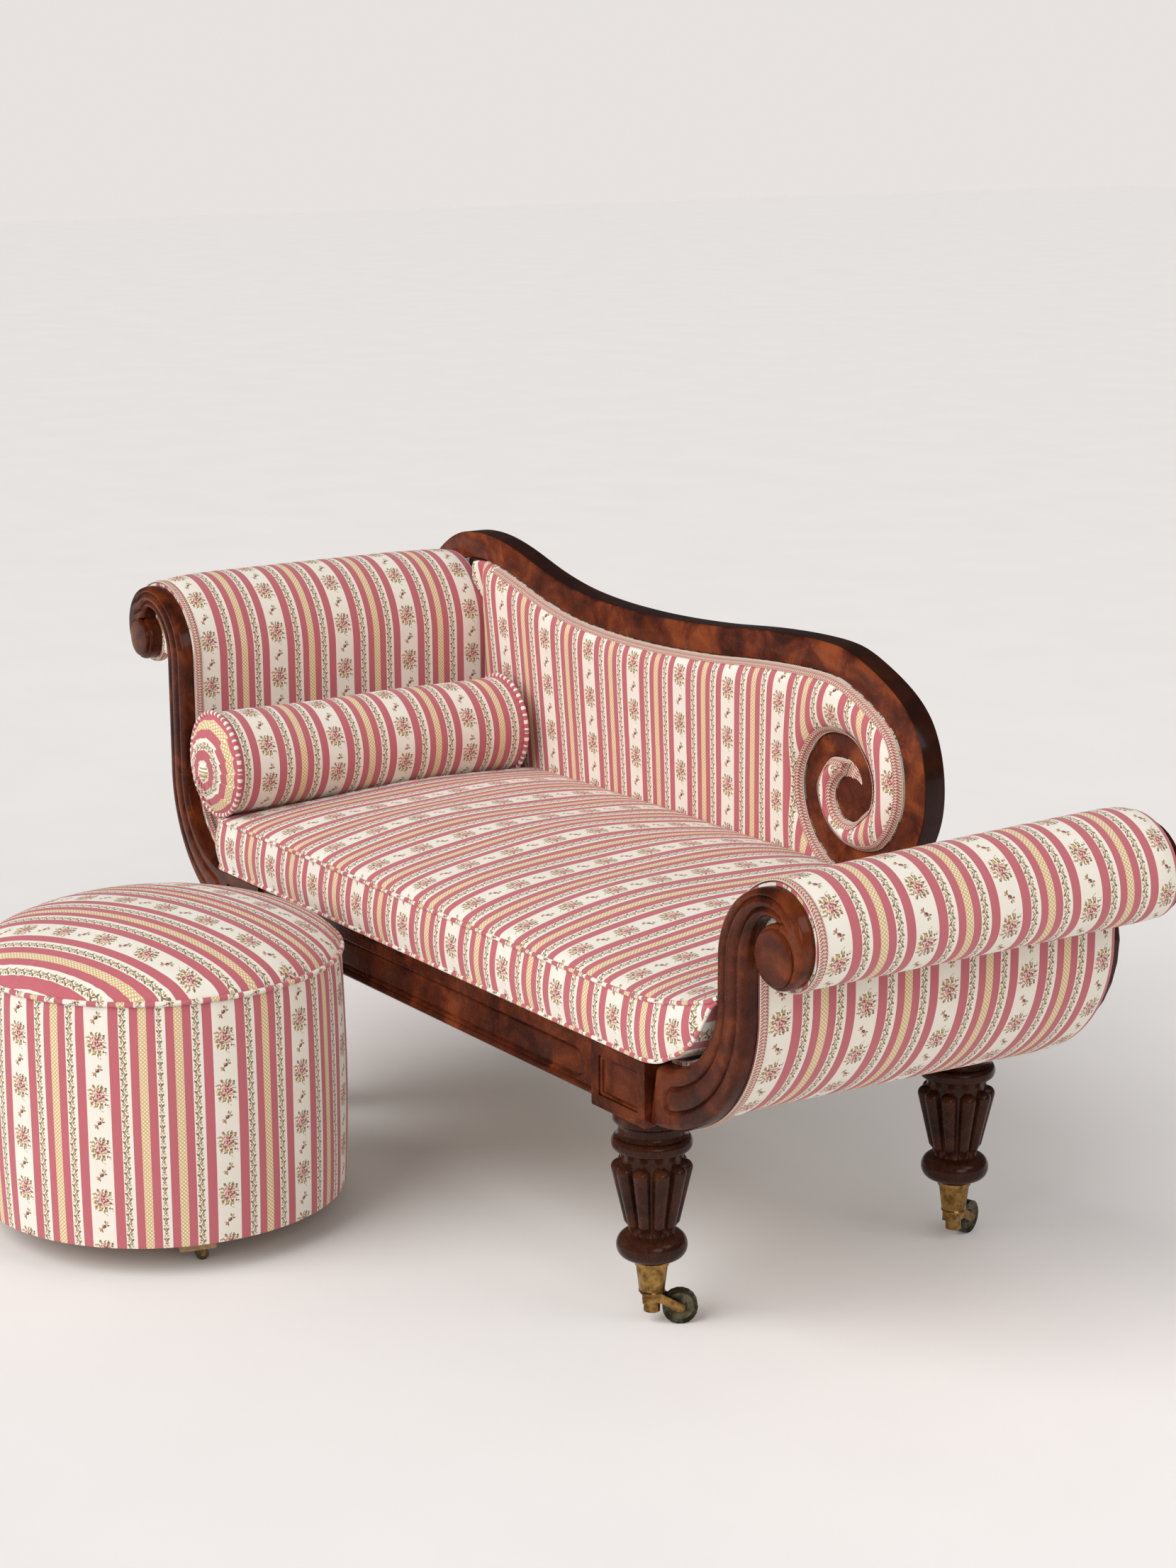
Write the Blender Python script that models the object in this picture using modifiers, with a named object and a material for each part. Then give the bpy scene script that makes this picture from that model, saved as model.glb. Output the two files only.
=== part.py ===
"""Chaise longue with a spiral back and a round pouf, in metres, +Z up.

X runs along the seat from the head end to the foot end, Y from the front to the back.
Everything is first placed from the axis of the front leg at the foot end, at floor level, and the
whole set is then moved so that its footprint is centred on the origin.
"""
import math
from types import SimpleNamespace

import bmesh
import bpy
from mathutils import Matrix, Vector

# Clearances and tolerances
FIT = 0.0003                   # between two pieces that touch
OVERRUN = 0.004                # how far a cutter runs past the face it cuts
WELD = 0.00001
SAG = 0.0008                   # largest gap between a smooth line and its facets

# Seat frame
LEG_PITCH_X = 1.085            # between the leg axes, along the seat
LEG_PITCH_Y = 0.540            # between the leg axes, front to back
LEG_HEIGHT = 0.309             # floor to the underside of the corner blocks
BLOCK_X = 0.126
BLOCK_Y = 0.112
BLOCK_HEIGHT = 0.091
BLOCK_SUNK_MARGIN = 0.017
BLOCK_SUNK_DEPTH = 0.005
RAIL_HEIGHT = 0.075
RAIL_SETBACK = 0.006           # rail faces behind the block faces
FRONT_RAIL_Y = 0.032
BACK_RAIL_Y = 0.038
END_RAIL_X = 0.030
END_RAIL_DROP = 0.006
PANEL_MARGIN_X = 0.055
PANEL_MARGIN_Z = 0.014
PANEL_DEPTH = 0.005
BEAD_RADIUS = 0.006
BEAD_STEP = 30                 # degrees between points on the bead
PANEL_STEP = 22.5              # degrees between points on the sunk panel's round ends

# Turned and reeded leg
TORUS_DROP = 0.046             # from the block down to the middle of the big ring
TORUS_RADIUS = 0.0556
TORUS_HEIGHT = 0.019
TORUS_EASE_SHARE = 0.87        # height at which the ring's flank bends
COLLAR_RADIUS = 0.0535
NECK_RADIUS = 0.046
LEG_SEGMENTS = 20
REED_COUNT = 10
REED_DROP = 0.083              # from the block down to where the reeds' domes start
REED_TOP_RADIUS = 0.0118
REED_BOTTOM_RADIUS = 0.0079
REED_TOP_REACH = 0.056         # from the leg's axis to the reeds' outer side
REED_BOTTOM_REACH = 0.038
REED_SEGMENTS = 8
DOME_STEP = 45                 # degrees between points on a reed's dome
CORE_TOP_RADIUS = 0.040
CORE_BOTTOM_RADIUS = 0.0308
ANKLE_Z = 0.115                # middle of the ring above the caster
ANKLE_RADIUS = 0.049
ANKLE_HEIGHT = 0.036
ANKLE_TOP_SHARE = 0.4          # where the ankle's flanks bend, of its height
ANKLE_LOW_SHARE = 0.45
ANKLE_FILLET = 0.015
TENON_RADIUS = 0.0190
TENON_TAPER = 0.0030
TENON_LENGTH = 0.030

# Caster under a leg
CASTER_HEIGHT = 0.047          # floor to the underside of the cup
CUP_HEIGHT = 0.0443
CUP_TOP_RADIUS = 0.0232
CUP_BOTTOM_RADIUS = 0.0178
CUP_LIP = 0.0010
CUP_LIP_HEIGHT = 0.005
CUP_SEGMENTS = 16
WHEEL_RADIUS = 0.0245
WHEEL_WIDTH = 0.014
WHEEL_WEB_WIDTH = 0.007
WHEEL_RIM_DEPTH = 0.005
WHEEL_HUB_RADIUS = 0.007
WHEEL_SEGMENTS = 18
AXLE_RADIUS = 0.0030
AXLE_CLEARANCE = 0.0004
SIDE_CLEARANCE = 0.0008
CASTER_TRAIL = 0.0385
FORK_ARM = 0.0032
FORK_EYE_RADIUS = 0.0068
FORK_EYE_ANGLES = (62, -118)   # where the arms' straight sides meet the eye
FORK_DEPTH = 0.0155            # height of the fork where it leaves the socket
SOCKET_RADIUS = 0.0115
SOCKET_LENGTH = 0.029
PLATE_RADIUS = 0.0165
PLATE_THICKNESS = 0.003
PLATE_SINK_SHARE = 0.75        # how deep the fork's head reaches into the plate
PIN_SEGMENTS = 10
EYE_STEP = 30                  # degrees between points on a fork's eye
TRAIL_ANGLES = {"foot_front": 57, "foot_back": 110, "head_front": -20, "head_back": 200}

# Scroll members of the two ends, measured outwards from the leg axis. Each has a sweep that
# rises from the block, a straight stem, a wide crown, a smaller hook and a tight turn to an eye.
MEMBER_SETBACK = 0.009         # behind the block's front face
MEMBER_Y = 0.0235
MEMBER_ROUND = 0.009
STEM_REACH = 0.206             # from the leg axis to the stem's seat side
STEM_WIDTH = {"head": 0.0545, "foot": 0.061}
SWEEP_INNER = {"head": 0.1335, "foot": 0.1265}
SWEEP_OUTER = {"head": 0.2245, "foot": 0.199}
SWEEP_DROP = {"head": 0.090, "foot": 0.088}    # the sweep's bottom below the rails' top
CROWN_RADIUS = 0.113
CROWN_RISE = {"head": 0.322, "foot": 0.179}    # crown's centre above the rails
HOOK_RADIUS = 0.070
HOOK_ANGLE = {"head": 69, "foot": 99}          # where the crown's arc runs into the hook's
TURN_RADIUS = 0.058
EYE_RADIUS = {"head": 0.037, "foot": 0.043}
EYE_ANGLE = {"head": -58, "foot": -73}         # where the turn's arc runs into the eye's
GAP_REACH = {"head": 0.066, "foot": 0.045}     # half the width of the gap under the crown
CROWN_THICKNESS = 0.037
GAP_CUT_ANGLE = {"head": 240, "foot": 205}     # where the gap narrows to a cut round the eye
GAP_END_ANGLE = 285
GAP_TOP_ANGLE = 120            # where the gap's underside turns down to its point
BOSS_MARGIN = 0.010
BOSS_PROUD = 0.003
BACK_SCROLL_Y = 0.0217
BACK_SCROLL_INSET = 0.012
ARC_STEP = 11                  # degrees between points on an arc

# Padding of the two ends
PAD_SEAT_SIDE = 0.004
PAD_EDGE = 0.004
PAD_CROWN = {"head": 0.016, "foot": 0.022}
PAD_OUTSIDE = {"head": 0.006, "foot": 0.021}   # how far the outer side swells past the wood
PAD_PLACE_SHARES = (0.0, 0.045, 0.16, 0.5, 0.80, 0.955, 1.0)
PAD_SINK = 0.011               # how far the underside lies above the wood's lower edge
PAD_SINK_SHARES = (0.0, 0.6, 1.0, 0.6, 0.2, 0.0, 0.0)
PAD_SWELL_SHARES = {
    "head": (0.0, 0.65, 0.9, 1.0, 1.0, 0.8, 0.5),
    "foot": (0.0, 0.3, 0.45, 0.75, 0.95, 1.0, 0.6),
}
PAD_END_ANGLE = -150           # where the roll's cover leaves the eye
PAD_TUCK_SHARE = 0.6           # of the eye's radius, down to where it is tacked on the stem
ROLL_RAIL_RADIUS = 0.017
ROLL_RAIL_SEGMENTS = 12

# Back frame: one swept band that curls at the head and winds into a spiral at the foot
BAND_WIDTH = 0.0465
BAND_Y = 0.038
BAND_ROUND = 0.004
SPIRAL_SETBACK = 0.262         # spiral centre from the foot leg axis
SPIRAL_RISE = 0.223            # spiral centre above the rails
SPIRAL_RADIUS = 0.1435
SPIRAL_START = 90
SPIRAL_STEP = 45               # degrees between the shares below
SPIRAL_RADIUS_SHARES = (1.275, 1.148, 1.0, 0.885, 0.755, 0.69, 0.675, 0.59, 0.448, 0.335, 0.262, 0.19)
SPIRAL_WIDTH_SHARES = (1.0, 1.0, 1.0, 1.0, 0.99, 0.93, 0.85, 0.83, 0.80, 0.77, 0.72, 0.62)
SPIRAL_LOW_SHARE = 0.755       # centre line of the band at its lowest
SPIRAL_EYE_RADIUS = 0.036
SPIRAL_EYE_OUT = 0.0025
SPIRAL_EYE_DROP = 0.011
DISC_SEGMENTS = 24
CURL_REACH = 0.110             # centre of the head curl beyond the head stem's seat side
CURL_DROP = 0.0855             # centre of the head curl below the hump
CURL_RADIUS = 0.0575
CURL_ANGLES = (-35, -65, -95, -125, -155, -180, 155, 130)
CURL_WIDTH_SHARES = (0.6, 0.68, 0.76, 0.84, 0.92, 0.97, 1.0, 1.0)
CURL_EYE_RADIUS = 0.034
HUMP_RISE = 0.464              # centre line of the hump above the rails
DIP_DEPTH = 0.0715             # centre line of the dip below the hump
CREST_X_SHARES = (0.010, 0.049, 0.0975, 0.150, 0.212, 0.273, 0.352, 0.440, 0.545, 0.686, 0.817, 0.927)
CREST_Z_SHARES = (0.832, 0.979, 1.0, 0.888, 0.622, 0.357, 0.126, 0.028, 0.0, 0.105, 0.294, 0.350)
CURVE_STEPS = 5

# Back panel, its lining and what stands under the spiral
PANEL_PROUD = 0.014            # padding in front of the band's face
PANEL_INSET = 0.016
PANEL_ROUND = 0.007
PANEL_CORNER_ANGLE = 140
LOWER_RAIL_HEIGHT = 0.050
LOWER_RAIL_SETBACK = 0.120
POST_X = 0.075
LINING = 0.003
LINING_LAP = 0.012
CHANNEL_STOP_RADIUS = 0.024

# Seat
WEB_WIDTH = 0.055
WEB_THICKNESS = 0.0012
WEB_MARGIN = 0.022
WEB_COUNT_X = 7
WEB_COUNT_Y = 3

# Loose cushion
CUSHION_PROUD = 0.002          # in front of the blocks
CUSHION_BOX = 0.083            # from its underside to its upper seam, at the front
CUSHION_BACK_RISE = 0.016
CUSHION_FOOT_RISE = 0.025
CUSHION_CROWN = 0.045
CUSHION_BULGE = 0.007
CUSHION_POWER_X = 0.45         # below one, the crown is flatter in the middle
CUSHION_POWER_Y = 0.6
CUSHION_HEAD_REACH = 0.085     # beyond the leg axis
CUSHION_FOOT_SHARE = 0.983     # how far the foot end climbs the sweep
CUSHION_COLUMNS = 26
CUSHION_EVEN_SHARE = 0.55
CUSHION_ROW_SHARES = (0.0, 0.012, 0.06, 0.16, 0.32, 0.5, 0.68, 0.84, 0.94, 0.988, 1.0)

# Bolster
BOLSTER_RADIUS = 0.084
BOLSTER_LENGTH = 0.569
BOLSTER_REACH = 0.080          # its axis beyond the head leg axis
BOLSTER_PROUD = 0.006          # in front of the blocks
BOLSTER_LIFT = 0.002
BOLSTER_DOME = 0.010
BOLSTER_PIPING = 0.003
BOLSTER_SHOULDER_SHARE = 0.8   # of the radius, where the domed end starts to fall
BOLSTER_SEGMENTS = 20
BUTTON_RADIUS = 0.012

# Pouf
POUF_GAP = 0.028               # between the pouf and the blocks
POUF_PLACE_SHARE = 0.705       # of the leg pitch, from the foot end
POUF_RADIUS = 0.272
POUF_LEG = 0.045               # floor to the underside of the cover
POUF_SIDE = 0.363
POUF_CROWN = 0.078
POUF_BELLY = 0.004
POUF_CROWN_POWER = 0.6
POUF_CROWN_SHARES = (0.2, 0.4, 0.6, 0.78, 0.92)
POUF_SEGMENTS = 36
BASE_THICKNESS = 0.018
BASE_INSET = 0.010
FOOT_BLOCK = 0.055
FOOT_BLOCK_HEIGHT = 0.021
FOOT_BLOCK_INSET = 0.050       # from the base board's edge to the block's axis
FOOT_BLOCK_ANGLE = -15
FOOT_BLOCK_EASING = 0.002
POUF_WHEEL_RADIUS = 0.0095
POUF_WHEEL_WIDTH = 0.008
POUF_WHEEL_SEGMENTS = 16
POUF_TRAIL = 0.010
POUF_PLATE = 0.0015
POUF_PLATE_RADIUS = 0.0145
POUF_FORK_ARM = 0.0018
POUF_AXLE_RADIUS = 0.0015
POUF_FORK_EYE = 0.0035
POUF_TRAIL_ANGLES = (75, 190, 255, 20)

# Values that follow from the ones above
RAIL_TOP = LEG_HEIGHT + BLOCK_HEIGHT
RAIL_BOTTOM = RAIL_TOP - RAIL_HEIGHT
BLOCK_FRONT = -BLOCK_Y / 2
BACK_FACE = LEG_PITCH_Y + BLOCK_Y / 2
RAIL_FRONT = BLOCK_FRONT + RAIL_SETBACK
MEMBER_FRONT = BLOCK_FRONT + MEMBER_SETBACK
MEMBER_BACK = MEMBER_FRONT + MEMBER_Y
BACK_RAIL_BACK = BACK_FACE - RAIL_SETBACK
BAND_BACK = BACK_RAIL_BACK - LINING
BAND_FRONT = BAND_BACK - BAND_Y
PANEL_FRONT = BAND_FRONT - PANEL_PROUD
PANEL_BACK = BAND_BACK - PANEL_INSET
LOWER_RAIL_TOP = RAIL_TOP + LOWER_RAIL_HEIGHT
HEAD_SIDE = -LEG_PITCH_X - BLOCK_X / 2
FOOT_SIDE = BLOCK_X / 2
INNER_HEAD = -LEG_PITCH_X + BLOCK_X / 2 + FIT
INNER_FOOT = -BLOCK_X / 2 - FIT
SPIRAL_X = -SPIRAL_SETBACK
SPIRAL_Z = RAIL_TOP + SPIRAL_RISE
CURL_X = -LEG_PITCH_X - STEM_REACH - CURL_REACH
HUMP_Z = RAIL_TOP + HUMP_RISE
CURL_Z = HUMP_Z - CURL_DROP
CUP_TOP = CASTER_HEIGHT + CUP_HEIGHT
REED_TOP = LEG_HEIGHT - REED_DROP
REED_FOOT = ANKLE_Z + ANKLE_HEIGHT / 2 + ANKLE_FILLET
SEAT_FLOOR = RAIL_TOP + PAD_SEAT_SIDE + FIT
CORNERS = {
    "foot_front": (0.0, 0.0),
    "foot_back": (0.0, LEG_PITCH_Y),
    "head_front": (-LEG_PITCH_X, 0.0),
    "head_back": (-LEG_PITCH_X, LEG_PITCH_Y),
}


def start_scene():
    """Empty the scene and make the two collections and the parent of everything."""
    for obj in list(bpy.data.objects):
        bpy.data.objects.remove(obj, do_unlink=True)
    made = []
    for name in ("Chaise longue with pouf", "Cutters"):
        group = bpy.data.collections.new(name)
        bpy.context.scene.collection.children.link(group)
        made.append(group)
    base = bpy.data.objects.new("set_origin", None)
    made[0].objects.link(base)
    return made[0], made[1], base


PARTS, CUTTERS, SET_ORIGIN = start_scene()


def material(name, colour, roughness, metallic=0.0):
    made = bpy.data.materials.new(name)
    made.use_nodes = True
    shader = made.node_tree.nodes["Principled BSDF"]
    shader.inputs["Base Color"].default_value = (*colour, 1.0)
    shader.inputs["Roughness"].default_value = roughness
    shader.inputs["Metallic"].default_value = metallic
    made.diffuse_color = (*colour, 1.0)
    return made


MAHOGANY = material("mahogany", (0.098, 0.022, 0.010), 0.28)
BEECH = material("beech", (0.40, 0.25, 0.13), 0.65)
FABRIC = material("striped_fabric", (0.62, 0.34, 0.31), 0.85)
LINING_CLOTH = material("lining_cloth", (0.42, 0.33, 0.24), 0.9)
JUTE = material("jute_webbing", (0.42, 0.30, 0.17), 0.95)
BRASS = material("aged_brass", (0.34, 0.20, 0.055), 0.38, 1.0)
DARK_BRASS = material("dark_brass", (0.075, 0.072, 0.048), 0.42, 1.0)


# Helpers

def place(obj, finish=None, parent=None, group=None):
    """Put an object in its collection, under its parent, with its material."""
    (group or PARTS).objects.link(obj)
    obj.parent = parent or SET_ORIGIN
    if group is CUTTERS:
        obj.hide_render = True
        obj.display_type = "WIRE"
    if finish is not None:
        set_material(obj, finish)
    return obj


def set_material(obj, finish):
    obj.data.materials.clear()
    obj.data.materials.append(finish)


def mesh_from(work, name):
    mesh = bpy.data.meshes.new(name)
    work.to_mesh(mesh)
    work.free()
    return mesh


def drop(objects):
    for obj in objects:
        bpy.data.objects.remove(obj, do_unlink=True)


def shade(mesh, angle=35):
    mesh.shade_smooth()
    mesh.set_sharp_from_angle(angle=math.radians(angle))


def evaluated_mesh(obj, name):
    """The object's mesh after its modifiers, with loose caps welded and flat areas merged."""
    bpy.context.view_layer.update()
    graph = bpy.context.evaluated_depsgraph_get()
    mesh = bpy.data.meshes.new_from_object(obj.evaluated_get(graph))
    work = bmesh.new()
    work.from_mesh(mesh)
    bmesh.ops.remove_doubles(work, verts=work.verts, dist=WELD)
    bmesh.ops.dissolve_limit(work, angle_limit=math.radians(0.1), verts=work.verts, edges=work.edges)
    bmesh.ops.recalc_face_normals(work, faces=work.faces)
    bpy.data.meshes.remove(mesh)
    return mesh_from(work, name)


def boolean(obj, tools, operation, keep=False):
    """Cut the object by the tools or join them to it. Unless they are kept, bake the result."""
    for tool in tools:
        step = obj.modifiers.new(f"{operation.lower()} {tool.name}", "BOOLEAN")
        step.operation = operation
        step.solver = "EXACT"
        step.object = tool
    if not keep:
        mesh = evaluated_mesh(obj, obj.name)
        obj.modifiers.clear()
        obj.data = mesh
        drop(tools)
    return obj


def box(name, low, high, finish=None, parent=None, group=None):
    """A block between two corners, from a primitive cube."""
    work = bmesh.new()
    size = [b - a for a, b in zip(low, high)]
    bmesh.ops.create_cube(work, size=1.0, matrix=Matrix.Diagonal((*size, 1.0)))
    obj = place(bpy.data.objects.new(name, mesh_from(work, name)), finish, parent, group)
    obj.location = [(a + b) / 2 for a, b in zip(low, high)]
    return obj


def cylinder(name, radius, start, end, segments, finish=None, parent=None, group=None):
    """A cylinder between two points on its axis, from a primitive."""
    start = Vector(start)
    axis = Vector(end) - start
    turn = axis.to_track_quat("Z", "Y").to_matrix().to_4x4()
    work = bmesh.new()
    bmesh.ops.create_cone(
        work, cap_ends=True, segments=segments, radius1=radius, radius2=radius, depth=axis.length,
        matrix=Matrix.Translation(start + axis / 2) @ turn)
    return place(bpy.data.objects.new(name, mesh_from(work, name)), finish, parent, group)


def lathe(name, profile, segments, finish=None, parent=None, group=None, ring=False):
    """Turn (radius, height) points, listed from the top down, about the Z axis."""
    mesh = bpy.data.meshes.new(name)
    edges = [(i, i + 1) for i in range(len(profile) - 1)]
    if ring:
        edges.append((len(profile) - 1, 0))
    mesh.from_pydata([(radius, 0.0, height) for radius, height in profile], edges, [])
    obj = place(bpy.data.objects.new(name, mesh), finish, parent, group)
    turn = obj.modifiers.new("turn", "SCREW")
    turn.axis = "Z"
    turn.steps = segments
    turn.render_steps = segments
    turn.use_merge_vertices = True
    turn.merge_threshold = WELD
    turn.use_smooth_shade = True
    return obj


def lathe_mesh(name, profile, segments, angle, ring=False):
    """The mesh of a turned piece that several objects share."""
    turned = lathe(name, profile, segments, group=CUTTERS, ring=ring)
    mesh = evaluated_mesh(turned, name)
    drop([turned])
    shade(mesh, angle)
    return mesh


def slab(name, outline, y_front, y_back, finish=None, parent=None, group=None):
    """An outline in X and Z, extruded from one depth to another."""
    curve = bpy.data.curves.new(name, "CURVE")
    curve.dimensions = "2D"
    curve.fill_mode = "BOTH"
    curve.extrude = (y_back - y_front) / 2
    curve.render_resolution_u = 0
    spline = curve.splines.new("POLY")
    spline.points.add(len(outline) - 1)
    for point, (x, z) in zip(spline.points, outline):
        point.co = (x, z, 0.0, 1.0)
    spline.use_cyclic_u = True
    guide = place(bpy.data.objects.new(name + "_outline", curve), group=CUTTERS)
    mesh = evaluated_mesh(guide, name)
    middle = Matrix.Translation((0.0, (y_front + y_back) / 2, 0.0))
    mesh.transform(middle @ Matrix.Rotation(math.pi / 2, 4, "X"))
    drop([guide])
    return place(bpy.data.objects.new(name, mesh), finish, parent, group)


def loft(name, sections, finish):
    """A closed body through sections that have the same number of points."""
    work = bmesh.new()
    rings = [[work.verts.new(point) for point in section] for section in sections]
    count = len(rings[0])
    for near, far in zip(rings, rings[1:]):
        for i in range(count):
            j = (i + 1) % count
            work.faces.new((near[i], near[j], far[j], far[i]))
    work.faces.new(rings[0][::-1])
    work.faces.new(rings[-1])
    bmesh.ops.recalc_face_normals(work, faces=work.faces)
    return place(bpy.data.objects.new(name, mesh_from(work, name)), finish)


def round_front(obj, y_face, width, segments):
    """Round the edges of the flat face at one depth."""
    work = bmesh.new()
    work.from_mesh(obj.data)
    flat = {f for f in work.faces if all(abs(v.co.y - y_face) < WELD for v in f.verts)}
    rim = [e for e in work.edges if sum(f in flat for f in e.link_faces) == 1]
    bmesh.ops.bevel(
        work, geom=rim, offset=width, segments=segments, profile=0.5, affect="EDGES",
        clamp_overlap=False)
    bmesh.ops.recalc_face_normals(work, faces=work.faces)
    work.to_mesh(obj.data)
    work.free()


def arc(centre, radius, start, end, step=ARC_STEP, height=None):
    """Points on an arc in X and Z, angles in degrees from +X towards +Z.

    A height that differs from the radius makes it a part of an ellipse.
    """
    rise = height or radius
    count = max(1, math.ceil(abs(end - start) / step))
    points = []
    for i in range(count + 1):
        angle = math.radians(start + (end - start) * i / count)
        points.append((centre[0] + radius * math.cos(angle), centre[1] + rise * math.sin(angle)))
    return points


def smooth_line(points):
    """A Catmull-Rom curve through points that each hold x, z and a width share."""
    ends = [points[0], *points, points[-1]]
    line = []
    for i in range(1, len(ends) - 2):
        p0, p1, p2, p3 = (Vector(p) for p in ends[i - 1:i + 3])
        for k in range(CURVE_STEPS):
            t = k / CURVE_STEPS
            line.append(0.5 * (2 * p1 + (p2 - p0) * t + (2 * p0 - 5 * p1 + 4 * p2 - p3) * t * t
                               + (3 * p1 - p0 - 3 * p2 + p3) * t ** 3))
    line.append(Vector(points[-1]))
    return line


def thin_out(line):
    """Drop the points of a line that its facets don't need."""
    kept = [line[0]]
    first = 0
    for last in range(2, len(line)):
        start = Vector(line[first])
        chord = (Vector(line[last]) - start).normalized()
        if any(abs(chord.cross(Vector(p) - start)) > SAG for p in line[first + 1:last]):
            kept.append(line[last - 1])
            first = last - 1
    kept.append(line[-1])
    return kept


# Seat frame

def corner_blocks():
    """The blocks above the legs. The front ones have a sunk square on their face."""
    for name, (x, y) in CORNERS.items():
        low = (x - BLOCK_X / 2, y - BLOCK_Y / 2, LEG_HEIGHT)
        high = (x + BLOCK_X / 2, y + BLOCK_Y / 2, RAIL_TOP)
        block = box(f"corner_block_{name}", low, high, MAHOGANY)
        if name.endswith("front"):
            margin = BLOCK_SUNK_MARGIN
            sunk = box(
                f"{name}_sinking", (low[0] + margin, low[1] - OVERRUN, low[2] + margin),
                (high[0] - margin, low[1] + BLOCK_SUNK_DEPTH, high[2] - margin), group=CUTTERS)
            boolean(block, [sunk], "DIFFERENCE", keep=True)


def front_rail():
    """A rail with a bead along its lower edge and a long sunk panel with round ends."""
    back = RAIL_FRONT + FRONT_RAIL_Y
    bead_y = RAIL_FRONT + BEAD_RADIUS / 2
    bead_z = RAIL_BOTTOM + BEAD_RADIUS
    outline = [(RAIL_FRONT, RAIL_TOP), (back, RAIL_TOP), (back, RAIL_BOTTOM), (bead_y, RAIL_BOTTOM)]
    outline += arc((bead_y, bead_z), BEAD_RADIUS, 240, 120, step=BEAD_STEP)
    outline.append((RAIL_FRONT, bead_z + BEAD_RADIUS))
    rail = slab("front_rail", outline, INNER_HEAD, INNER_FOOT, MAHOGANY)
    rail.data.transform(Matrix(((0, 1, 0, 0), (1, 0, 0, 0), (0, 0, 1, 0), (0, 0, 0, 1))))
    rail.data.flip_normals()
    low = bead_z + BEAD_RADIUS + PANEL_MARGIN_Z / 2
    radius = (RAIL_TOP - PANEL_MARGIN_Z - low) / 2
    sunk = arc((INNER_FOOT - PANEL_MARGIN_X - radius, low + radius), radius, -90, 90, step=PANEL_STEP)
    sunk += arc((INNER_HEAD + PANEL_MARGIN_X + radius, low + radius), radius, 90, 270, step=PANEL_STEP)
    panel = slab(
        "front_rail_sinking", sunk, RAIL_FRONT - OVERRUN, RAIL_FRONT + PANEL_DEPTH, group=CUTTERS)
    boolean(rail, [panel], "DIFFERENCE", keep=True)


def plain_rails():
    """The back rail and the two end rails, which the upholstery hides."""
    box("back_rail", (INNER_HEAD, BACK_RAIL_BACK - BACK_RAIL_Y, RAIL_BOTTOM),
        (INNER_FOOT, BACK_RAIL_BACK, RAIL_TOP), BEECH)
    front = BLOCK_Y / 2 + FIT
    back = LEG_PITCH_Y - BLOCK_Y / 2 - FIT
    top = RAIL_TOP - END_RAIL_DROP
    box("head_rail", (HEAD_SIDE, front, RAIL_BOTTOM), (HEAD_SIDE + END_RAIL_X, back, top), BEECH)
    box("foot_rail", (FOOT_SIDE - END_RAIL_X, front, RAIL_BOTTOM), (FOOT_SIDE, back, top), BEECH)


# Legs

def reeds():
    """The ring of tapered reeds with domed tops, which lean in as the leg tapers."""
    run = REED_TOP - REED_FOOT
    top_centre = REED_TOP_REACH - REED_TOP_RADIUS
    bottom_centre = REED_BOTTOM_REACH - REED_BOTTOM_RADIUS
    profile = [(x, run + z) for x, z in arc((0.0, 0.0), REED_TOP_RADIUS, 90, 0, step=DOME_STEP)]
    profile[0] = (0.0, run + REED_TOP_RADIUS)
    profile += [(REED_BOTTOM_RADIUS, 0.0), (0.0, 0.0)]
    reed = lathe_mesh("reed", profile, REED_SEGMENTS, 40)
    lean = Matrix.Identity(4)
    lean[0][2] = (top_centre - bottom_centre) / run
    ring = bmesh.new()
    for i in range(REED_COUNT):
        turn = Matrix.Rotation(math.tau * (i + 0.5) / REED_COUNT, 4, "Z")
        copy = reed.copy()
        copy.transform(turn @ Matrix.Translation((bottom_centre, 0.0, REED_FOOT)) @ lean)
        ring.from_mesh(copy)
        bpy.data.meshes.remove(copy)
    bpy.data.meshes.remove(reed)
    return place(bpy.data.objects.new("reeds", mesh_from(ring, "reeds")), group=CUTTERS)


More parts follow.
